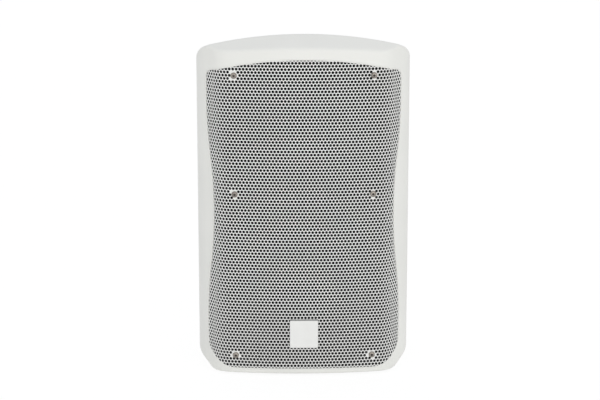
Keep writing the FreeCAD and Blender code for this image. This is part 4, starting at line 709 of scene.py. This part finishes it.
def line_through(u, v, turn):
    """A straight part through one point."""
    return (u, v, 0.0, turn, turn)


side_turn = pi / 2 + TAPER
shoulder_x = HALF_WIDTH - SHOULDER
flank_x = shoulder_x + SHOULDER * sin(FLANK)
shoulder_y = bend_y + (flank_x - bend_x) * tan(FLANK) + SHOULDER * cos(FLANK)
side_x, side_y = shoulder_x + SHOULDER * cos(TAPER), shoulder_y + SHOULDER * sin(TAPER)
tail_x = side_x - (REAR_Y - REAR_CORNER - side_y) * tan(TAPER) - REAR_CORNER / cos(TAPER)
bend_u, bend_v = BOW_HALF - BEND_RADIUS * sin(bow_turn), -(bow_y + BEND_RADIUS * cos(bow_turn))
plan_line = (
    (0.0, -(FACE_Y + BOW_RADIUS), BOW_RADIUS, 0.0, bow_turn),
    (bend_u, bend_v, BEND_RADIUS, bow_turn, FLANK),
    line_through(bend_x, -bend_y, FLANK),
    (shoulder_x, -shoulder_y, SHOULDER, FLANK, side_turn),
    line_through(side_x, -side_y, side_turn),
    (tail_x, -(REAR_Y - REAR_CORNER), REAR_CORNER, side_turn, pi),
    line_through(0.0, -REAR_Y, pi),
)
arch_z = RIDGE_Z - TOP_ARCH
top_corner_x = HALF_WIDTH - TOP_CORNER
top_corner_z = arch_z + sqrt((TOP_ARCH - TOP_CORNER) ** 2 - top_corner_x ** 2)
spring_turn = atan2(top_corner_x, top_corner_z - arch_z)
arch_line = (
    (0.0, arch_z, TOP_ARCH, 0.0, spring_turn),
    (top_corner_x, top_corner_z, TOP_CORNER, spring_turn, pi / 2),
    line_through(HALF_WIDTH, 0.0, pi / 2),
)


def chamfered_foot(chamfer):
    """The underside, a chamfer with rounded ends and the widest line of the side."""
    soft_reach = CHAMFER_SOFT * tan(pi / 8)
    return (
        line_through(0.0, -BELLY_Z, 0.0),
        (HALF_WIDTH - chamfer - soft_reach, -(BELLY_Z + CHAMFER_SOFT), CHAMFER_SOFT, 0.0, pi / 4),
        line_through(HALF_WIDTH - chamfer, -BELLY_Z, pi / 4),
        (HALF_WIDTH - CHAMFER_SOFT, -(BELLY_Z + chamfer + soft_reach), CHAMFER_SOFT, pi / 4, pi / 2),
        line_through(HALF_WIDTH, 0.0, pi / 2),
    )


cad_foot, full_foot = chamfered_foot(CHAMFER), chamfered_foot(FULL_CHAMFER)
print("sides run from x", round(side_x, 1), "to", round(tail_x, 1))

# %% [markdown]
# ### The rounded form
# For any point the form tells how far outside it the point stands, and which way is out. Where two surfaces
# meet, a smooth maximum of their distances gives a rounded edge in place of a crisp one.

# %% The rounded form
SIDE_SOFT, BROW_SOFT, RIDGE_SOFT, FOOT_SOFT = 2.5, 4.5, 5.0, 3.0
FAR_OFF, LEAST_BEND = 1e6, 0.25


def outside(line, u, v):
    """How far points stand outside a round-cornered outline, and which way its surface faces there."""
    far, face_u, face_v = np.full(u.shape, -FAR_OFF), np.zeros(u.shape), np.ones(u.shape)
    for cu, cv, radius, start, end in line:
        if radius:
            turn, away = np.arctan2(u - cu, v - cv), np.hypot(u - cu, v - cv) + 1e-9
            gap = np.where((turn >= start) & (turn <= end), away - radius, -FAR_OFF)
            way_u, way_v = (u - cu) / away, (v - cv) / away
        else:
            gap = (u - cu) * sin(start) + (v - cv) * cos(start)
            way_u, way_v = np.full(u.shape, sin(start)), np.full(u.shape, cos(start))
        nearer = gap > far
        far = np.where(nearer, gap, far)
        face_u, face_v = np.where(nearer, way_u, face_u), np.where(nearer, way_v, face_v)
    return far, face_u, face_v


def leaning(points, lean, way):
    """The brow or the top: the arched outline drawn out along a leaning line from the ridge."""
    x, y, z = points.T
    far, face_u, face_v = outside(arch_line, np.abs(x), z + way * (y - RIDGE_Y) * tan(lean))
    facing = np.stack((face_u * np.sign(x), face_v * way * tan(lean), face_v), 1)
    size = np.linalg.norm(facing, axis=1)
    return far / size, facing / size[:, None]


def meet(one, two, softness):
    """Two surfaces made one with a rounded edge, and how near each point is to that edge."""
    (gap_a, way_a), (gap_b, way_b) = one, two
    bend = softness * (1.0 - (way_a * way_b).sum(1)) + 1e-6
    apart = np.abs(gap_a - gap_b)
    near = np.clip(1.0 - apart / bend, 0.0, 1.0)
    share = 0.5 + 0.5 * np.clip((gap_a - gap_b) / bend, -1.0, 1.0)
    way = share[:, None] * way_a + (1.0 - share)[:, None] * way_b
    way /= np.linalg.norm(way, axis=1)[:, None]
    rounded = np.maximum(gap_a, gap_b) + near * near * bend / 4.0
    return (rounded, way), np.where(bend > LEAST_BEND, apart, FAR_OFF)


def rounded_form(points, foot_line):
    """Distance outside the rounded cabinet, the way out, and the distance to its nearest edge."""
    x, y, z = points.T
    wall, wall_u, wall_v = outside(plan_line, np.abs(x), -y)
    foot, foot_u, foot_v = outside(foot_line, np.abs(x), -z)
    flat = np.zeros(x.shape)
    wall_way = np.stack((wall_u * np.sign(x), -wall_v, flat), 1)
    foot_way = np.stack((foot_u * np.sign(x), flat, -foot_v), 1)
    roof, by_ridge = meet(leaning(points, BROW_LEAN, -1), leaning(points, TOP_FALL, 1), RIDGE_SOFT)
    edge_soft = SIDE_SOFT + BROW_SOFT * np.clip(-wall_way[:, 1], 0.0, 1.0) ** 2
    shell, by_edge = meet((wall, wall_way), roof, edge_soft)
    whole, by_foot = meet(shell, (foot, foot_way), FOOT_SOFT)
    return whole[0], whole[1], np.minimum(np.minimum(by_ridge, by_edge), by_foot)


print("rounded form ready")

# %% [markdown]
# ### Drawing the mesh on to the form
# A copy of each half is made fine near the edges. The lower corners are fuller in the picture than in the
# solids, so the points of the old chamfer are pushed out to a shallower one. Then every point that stands
# outside the rounded form is drawn back on to it. Points deeper inside, the ribs and bosses, stay.

# %% Softened halves
FINE, COARSENING, EDGE_ZONE, REFINE_TURNS, DRAW_TURNS = 3.0, 0.6, 5.0, 10, 5
SKIN, SLIVER, MOST_FACES, PLASTIC_SMOOTH = -0.4, 0.02, 180000, radians(32.0)


def make_fine(work):
    """Splits long edges of the skin until they are short enough for their distance from an edge."""
    for turn in range(REFINE_TURNS):
        bmesh.ops.dissolve_degenerate(work, dist=SLIVER * MM, edges=work.edges)
        bmesh.ops.triangulate(work, faces=[f for f in work.faces if len(f.verts) > 3])
        work.verts.index_update()
        spots = np.array([v.co[:] for v in work.verts]) / MM
        ends = np.array([(e.verts[0].index, e.verts[1].index) for e in work.edges])
        first, last = spots[ends[:, 0]], spots[ends[:, 1]]
        samples = [rounded_form(at, cad_foot) for at in (first, last, (first + last) / 2)]
        on_skin = (samples[0][0] > SKIN) & (samples[1][0] > SKIN)
        near = np.minimum.reduce([sample[2] for sample in samples])
        wanted = np.maximum(FINE, COARSENING * (near - EDGE_ZONE))
        split = on_skin & (np.linalg.norm(last - first, axis=1) > wanted)
        if not split.any():
            break
        bmesh.ops.subdivide_edges(work, edges=[e for e, cut in zip(work.edges, split) if cut], cuts=1)
        bmesh.ops.triangulate(work, faces=[f for f in work.faces if len(f.verts) > 3])


def draw_on(spots):
    """Points of the old chamfer pushed out to the fuller one, and all points outside drawn back."""
    across, down = np.abs(spots[:, 0]), -spots[:, 2]
    fill, fill_u, fill_v = outside(full_foot, across, down)
    on_foot = outside(cad_foot, across, down)[0] > SKIN
    fill = np.where(on_foot, np.minimum(fill, 0.0), 0.0)
    spots = spots - fill[:, None] * np.stack((fill_u * np.sign(spots[:, 0]), 0.0 * fill_u, -fill_v), 1)
    for turn in range(DRAW_TURNS):
        gap, way, _ = rounded_form(spots, full_foot)
        spots = spots - np.maximum(gap, 0.0)[:, None] * way
    return spots


def soften(node, name):
    """A merged copy of a CAD node, drawn on to the rounded form."""
    piece = bpy.data.objects.new(name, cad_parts[node].data.copy())
    scene.collection.objects.link(piece)
    take_up(piece)
    bpy.ops.mesh.customdata_custom_splitnormals_clear()
    work = bmesh.new()
    work.from_mesh(piece.data)
    bmesh.ops.remove_doubles(work, verts=work.verts, dist=SLIVER * MM)
    make_fine(work)
    spots = draw_on(np.array([v.co[:] for v in work.verts]) / MM)
    for v, spot in zip(work.verts, spots):
        v.co = spot * MM
    bmesh.ops.remove_doubles(work, verts=work.verts, dist=SLIVER * MM)
    bmesh.ops.dissolve_degenerate(work, dist=SLIVER * MM, edges=work.edges)
    work.to_mesh(piece.data)
    work.free()
    fewer = piece.modifiers.new("fewer", "DECIMATE")
    fewer.ratio = min(1.0, MOST_FACES / len(piece.data.polygons))
    apply_all(piece)
    bpy.ops.object.shade_smooth_by_angle(angle=PLASTIC_SMOOTH)
    piece.data.materials.clear()
    piece.data.materials.append(finishes["cabinet_plastic"])
    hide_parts(node)
    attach(piece, "cabinet")
    print(name, "has", len(piece.data.polygons), "faces")


soften("front_baffle", "front_moulding")
soften("rear_shell", "rear_moulding")

# %% [markdown]
# ## The bezel's lip
# A narrow rounded lip of the moulding frames the grille. It catches the light as a fine bright line, and
# its lower corners are fuller than the opening's. A curve drawn once round the outline is given a round
# section and turned into a mesh. In the lower corners a thin web, rolled like the sheet, fills in behind.

# %% Bezel lip
LIP_RADIUS, LIP_ROUNDNESS, LIP_OUT, LIP_HEEL = 0.9, 2, 0.5, 37.0
WEB_THICKNESS, WEB_PLAY = 0.4, 0.05
lip_outline = laid_flat(waisted_outline(LIP_OUT, LIP_HEEL))
lip_curve = bpy.data.curves.new("bezel_lip", "CURVE")
lip_curve.dimensions = "3D"
lip_curve.bevel_depth = LIP_RADIUS * MM
lip_curve.bevel_resolution = LIP_ROUNDNESS
lip_line = lip_curve.splines.new("POLY")
lip_line.points.add(len(lip_outline) - 1)
for point, (run, z) in zip(lip_line.points, lip_outline):
    x, y = roll(run, 0.0)
    point.co = (x * MM, y * MM, z * MM, 1.0)
lip_line.use_cyclic_u = True
bezel_lip = bpy.data.objects.new("bezel_lip", lip_curve)
scene.collection.objects.link(bezel_lip)
take_up(bezel_lip)
bpy.ops.object.convert(target="MESH")
bezel_lip = bpy.context.object
bpy.ops.object.shade_smooth()
web_edge = laid_flat(waisted_outline(LIP_OUT))
web_net, web_faces = net_inside([lip_outline, web_edge], 1, near=1e-4)
web_top = SHEET_LOW + 2 * LIP_HEEL
corner_faces = [face for face in web_faces if max(web_net[k].y for k in face) < web_top]
lip_web = rolled_sheet("lip_web", web_net, corner_faces, -WEB_THICKNESS - WEB_PLAY, WEB_THICKNESS)
take_up(bezel_lip)
lip_web.select_set(True)
bpy.ops.object.join()
bezel_lip.data.materials.clear()
bezel_lip.data.materials.append(finishes["cabinet_plastic"])
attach(bezel_lip, "cabinet")
print("bezel lip faces:", len(bezel_lip.data.polygons))

# %% [markdown]
# ## Screw heads
# Six stainless screws with domed heads and a hexagon socket hold the grille. The half-section of one is
# drawn as a strip of edges and spun about the screw's axis, and the socket's ring is then pressed into a
# hexagon. One screw is modelled and copied, so all six match, and their sockets get a darker painted shade.

# %% Grille screws
HEAD_RADIUS, HEAD_HEIGHT, SOCKET_RADIUS, SOCKET_DEPTH, SHANK_RADIUS = 4.1, 2.4, 1.75, 1.7, 1.9
DOME_STEPS, DOME_DROP, DOME_CURVE, SPIN_STEPS, HEAD_SMOOTH = 6, 1.5, 2.4, 24, radians(35.0)
SOCKET_DRAFT, SOCKET_CROWN, TIP_LENGTH, TIP_TAPER = 0.96, 0.25, 1.2, 0.9
SAME_POINT, BY_AXIS, BY_SOCKET = 0.002, 0.5, 0.05
screws_low, screws_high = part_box("grille_screws")
head_y, tip_y = screws_low.y / MM, screws_high.y / MM
neck_y = head_y + HEAD_HEIGHT


def spun(name, profile, x, z, steps):
    """A profile of (radius, y) in millimetres, spun about the line through x and z along y."""
    mesh = bpy.data.meshes.new(name)
    strip = [(k, k + 1) for k in range(len(profile) - 1)]
    mesh.from_pydata([((x + r) * MM, y * MM, z * MM) for r, y in profile], strip, [])
    piece = bpy.data.objects.new(name, mesh)
    scene.collection.objects.link(piece)
    take_up(piece)
    bpy.ops.object.mode_set(mode="EDIT")
    bpy.ops.mesh.select_all(action="SELECT")
    bpy.ops.mesh.spin(steps=steps, angle=2 * pi, center=(x * MM, 0.0, z * MM), axis=(0.0, 1.0, 0.0))
    bpy.ops.mesh.select_all(action="SELECT")
    bpy.ops.mesh.remove_doubles(threshold=SAME_POINT * MM)
    face_outwards()
    return piece


dome = []
for k in range(DOME_STEPS + 1):
    part = k / DOME_STEPS
    out = SOCKET_RADIUS + (HEAD_RADIUS - SOCKET_RADIUS) * k / DOME_STEPS
    dome.append((out, head_y + DOME_DROP * part ** DOME_CURVE))
socket_y = head_y + SOCKET_DEPTH
screw_profile = (
    [(0.0, socket_y), (SOCKET_RADIUS * SOCKET_DRAFT, socket_y - SOCKET_CROWN)]
    + dome
    + [(HEAD_RADIUS, neck_y), (SHANK_RADIUS, neck_y), (SHANK_RADIUS, tip_y - TIP_LENGTH)]
    + [(SHANK_RADIUS - TIP_TAPER, tip_y), (0.0, tip_y)]
)
first_screw = spun("grille_screw_heads", screw_profile, SCREW_X, SCREW_ROWS[0], SPIN_STEPS)
for v in first_screw.data.vertices:
    across, up = v.co.x / MM - SCREW_X, v.co.z / MM - SCREW_ROWS[0]
    radius = hypot(across, up)
    if BY_AXIS < radius < SOCKET_RADIUS + BY_SOCKET and v.co.y / MM < neck_y:
        part_turn = (atan2(up, across) + 2 * pi) % (pi / 3) - pi / 6
        pressed = cos(pi / 6) / cos(part_turn)
        v.co.x, v.co.z = (SCREW_X + across * pressed) * MM, (SCREW_ROWS[0] + up * pressed) * MM
take_up(first_screw)
bpy.ops.object.shade_smooth_by_angle(angle=HEAD_SMOOTH)
copies = []
for side in (-1, 1):
    for height in SCREW_ROWS:
        if (side, height) == (1, SCREW_ROWS[0]):
            continue
        copy = first_screw.copy()
        copy.data = first_screw.data.copy()
        scene.collection.objects.link(copy)
        shift = Vector(((side - 1) * SCREW_X * MM, 0.0, (height - SCREW_ROWS[0]) * MM))
        for v in copy.data.vertices:
            v.co += shift
        copies.append(copy)
take_up(first_screw)
for copy in copies:
    copy.select_set(True)
bpy.ops.object.join()
first_screw.data.materials.append(finishes["screw_steel"])
# The sockets' second finish is painted shade: a dark tone standing in for the shadow inside the recess.
first_screw.data.materials.append(new_finish("socket_painted_shade", tone(62, 57, 53), 0.6))
for face in first_screw.data.polygons:
    across = abs(abs(face.center.x / MM) - SCREW_X)
    up = min(abs(face.center.z / MM - height) for height in SCREW_ROWS)
    in_socket = hypot(across, up) < SOCKET_RADIUS and face.center.y / MM < neck_y
    face.material_index = int(in_socket)
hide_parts("grille_screws")
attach(first_screw, "cabinet")
print("grille screws:", len(copies) + 1, "with", len(first_screw.data.polygons), "faces")

# %% [markdown]
# ## The badge's bare plate
# A square white plate stands off the grille near the bottom. It is left bare. A cube at its size and place
# is the start: its edges are bevelled, so that they catch the light as the real plate's edges do, and the
# face is inset and pressed in by a hair, as a moulded plate sinks when it cools.

# %% Badge plate
BADGE_BEVEL, BEVEL_STEPS, BADGE_INSET, BADGE_SINK = 1.1, 4, 1.2, 0.15
FRONT_FACING, LARGE_SHARE, BADGE_SMOOTH = -0.99, 0.5, radians(32.0)
badge_low, badge_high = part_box("badge_plate")
badge_size, badge_mid = badge_high - badge_low, (badge_high + badge_low) / 2
bpy.ops.object.select_all(action="DESELECT")
bpy.ops.mesh.primitive_cube_add(size=1.0, location=badge_mid, scale=badge_size)
badge = bpy.context.object
badge.name = badge.data.name = "bare_badge_plate"
bpy.ops.object.transform_apply(location=True, rotation=True, scale=True)
bpy.ops.object.mode_set(mode="EDIT")
bpy.ops.mesh.select_all(action="SELECT")
bpy.ops.mesh.bevel(offset=BADGE_BEVEL * MM, segments=BEVEL_STEPS, affect="EDGES")
bpy.ops.mesh.select_all(action="DESELECT")
bpy.ops.object.mode_set(mode="OBJECT")
large_area = LARGE_SHARE * badge_size.x * badge_size.z
for face in badge.data.polygons:
    face.select = face.normal.y < FRONT_FACING and face.area > large_area
bpy.ops.object.mode_set(mode="EDIT")
bpy.ops.mesh.inset(thickness=BADGE_INSET * MM)
bpy.ops.transform.translate(value=(0.0, BADGE_SINK * MM, 0.0))
face_outwards()
bpy.ops.object.shade_smooth_by_angle(angle=BADGE_SMOOTH)
badge.data.materials.append(finishes["badge_plastic"])
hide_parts("badge_plate")
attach(badge, "cabinet")
print("badge plate faces:", len(badge.data.polygons))

# %% [markdown]
# ## Surround and spider
# Both are soft rings that hold the moving cone: a rubber half-roll at the rim and a pleated cloth further
# back. Each is a thin profile spun about the driver's axis. Their outer rims stay with the basket while
# their inner rims ride with the cone.

# %% Half-roll surround
DRIVER_Z, RING_STEPS, RUBBER, RUBBER_SMOOTH = 140.0, 96, 1.0, radians(40.0)
ROLL_MID, ROLL_HALF, ROLL_RISE, RIM_Y, CONE_Y = 83.0, 4.6, 4.8, -97.0, -92.5
roll_turns = [radians(a) for a in range(10, 171, 10)]
half_roll = [(ROLL_MID + ROLL_HALF * cos(t), RIM_Y - ROLL_RISE * sin(t)) for t in roll_turns]
outer_rim = [(94.4, RIM_Y), (88.2, RIM_Y)]
inner_rim = [(78.3, -93.4), (77.6, CONE_Y), (72.2, CONE_Y)]


def depths_of(piece):
    """How far forward and how far back a piece reaches, in millimetres."""
    depths = [v.co.y / MM for v in piece.data.vertices]
    return [round(min(depths), 2), round(max(depths), 2)]


def thick_ring(name, line, wall):
    """A line of (radius, y), thickened towards the rear and spun about the driver's axis."""
    normals = []
    for k in range(len(line)):
        before, after = line[max(k - 1, 0)], line[min(k + 1, len(line) - 1)]
        run = Vector((after[0] - before[0], after[1] - before[1])).normalized()
        normals.append((run.y, -run.x))
    back = [(r + n[0] * wall, y + n[1] * wall) for (r, y), n in zip(line, normals)]
    closed = list(line) + back[::-1] + [line[0]]
    return spun(name, closed, 0.0, DRIVER_Z, RING_STEPS)


surround = thick_ring("half_roll_surround", outer_rim + half_roll + inner_rim, RUBBER)
take_up(surround)
bpy.ops.object.shade_smooth_by_angle(angle=RUBBER_SMOOTH)
surround.data.materials.append(finishes["surround_rubber"])
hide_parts("woofer_surround")
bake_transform(surround)
solid_y = [round(corner.y / MM, 2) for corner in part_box("woofer_surround")]
print("surround in y:", depths_of(surround), "its solid:", solid_y)

# %% [markdown]
# ### The pleats
# The spider's cloth is pressed into rings of pleats, so that it gives along the axis and holds the coil
# centred. They are a sine wave between a flat collar on the coil's former and a flat rim on the basket.

# %% Pleated spider
CLOTH_WALL, CLOTH_SMOOTH, COLLAR_Y, BASKET_Y = 0.7, radians(50.0), -53.0, -48.8
PLEAT_FROM, PLEAT_STEP, PLEAT_POINTS, POINTS_A_PLEAT = 26.0, 0.5, 37, 9.0
PLEAT_Y, PLEAT_HEIGHT = -51.2, 0.9
pleats = [(20.0, COLLAR_Y), (24.0, COLLAR_Y)]
for k in range(PLEAT_POINTS):
    wave = sin(2 * pi * k / POINTS_A_PLEAT)
    pleats.append((PLEAT_FROM + PLEAT_STEP * k, PLEAT_Y + PLEAT_HEIGHT * wave))
pleats += [(45.6, BASKET_Y), (53.3, BASKET_Y)]
spider = thick_ring("pleated_spider", pleats[::-1], CLOTH_WALL)
take_up(spider)
bpy.ops.object.shade_smooth_by_angle(angle=CLOTH_SMOOTH)
spider.data.materials.append(finishes["spider_cloth"])
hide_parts("woofer_spider")
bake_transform(spider)
solid_y = [round(corner.y / MM, 2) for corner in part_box("woofer_spider")]
print("spider in y:", depths_of(spider), "its solid:", solid_y)
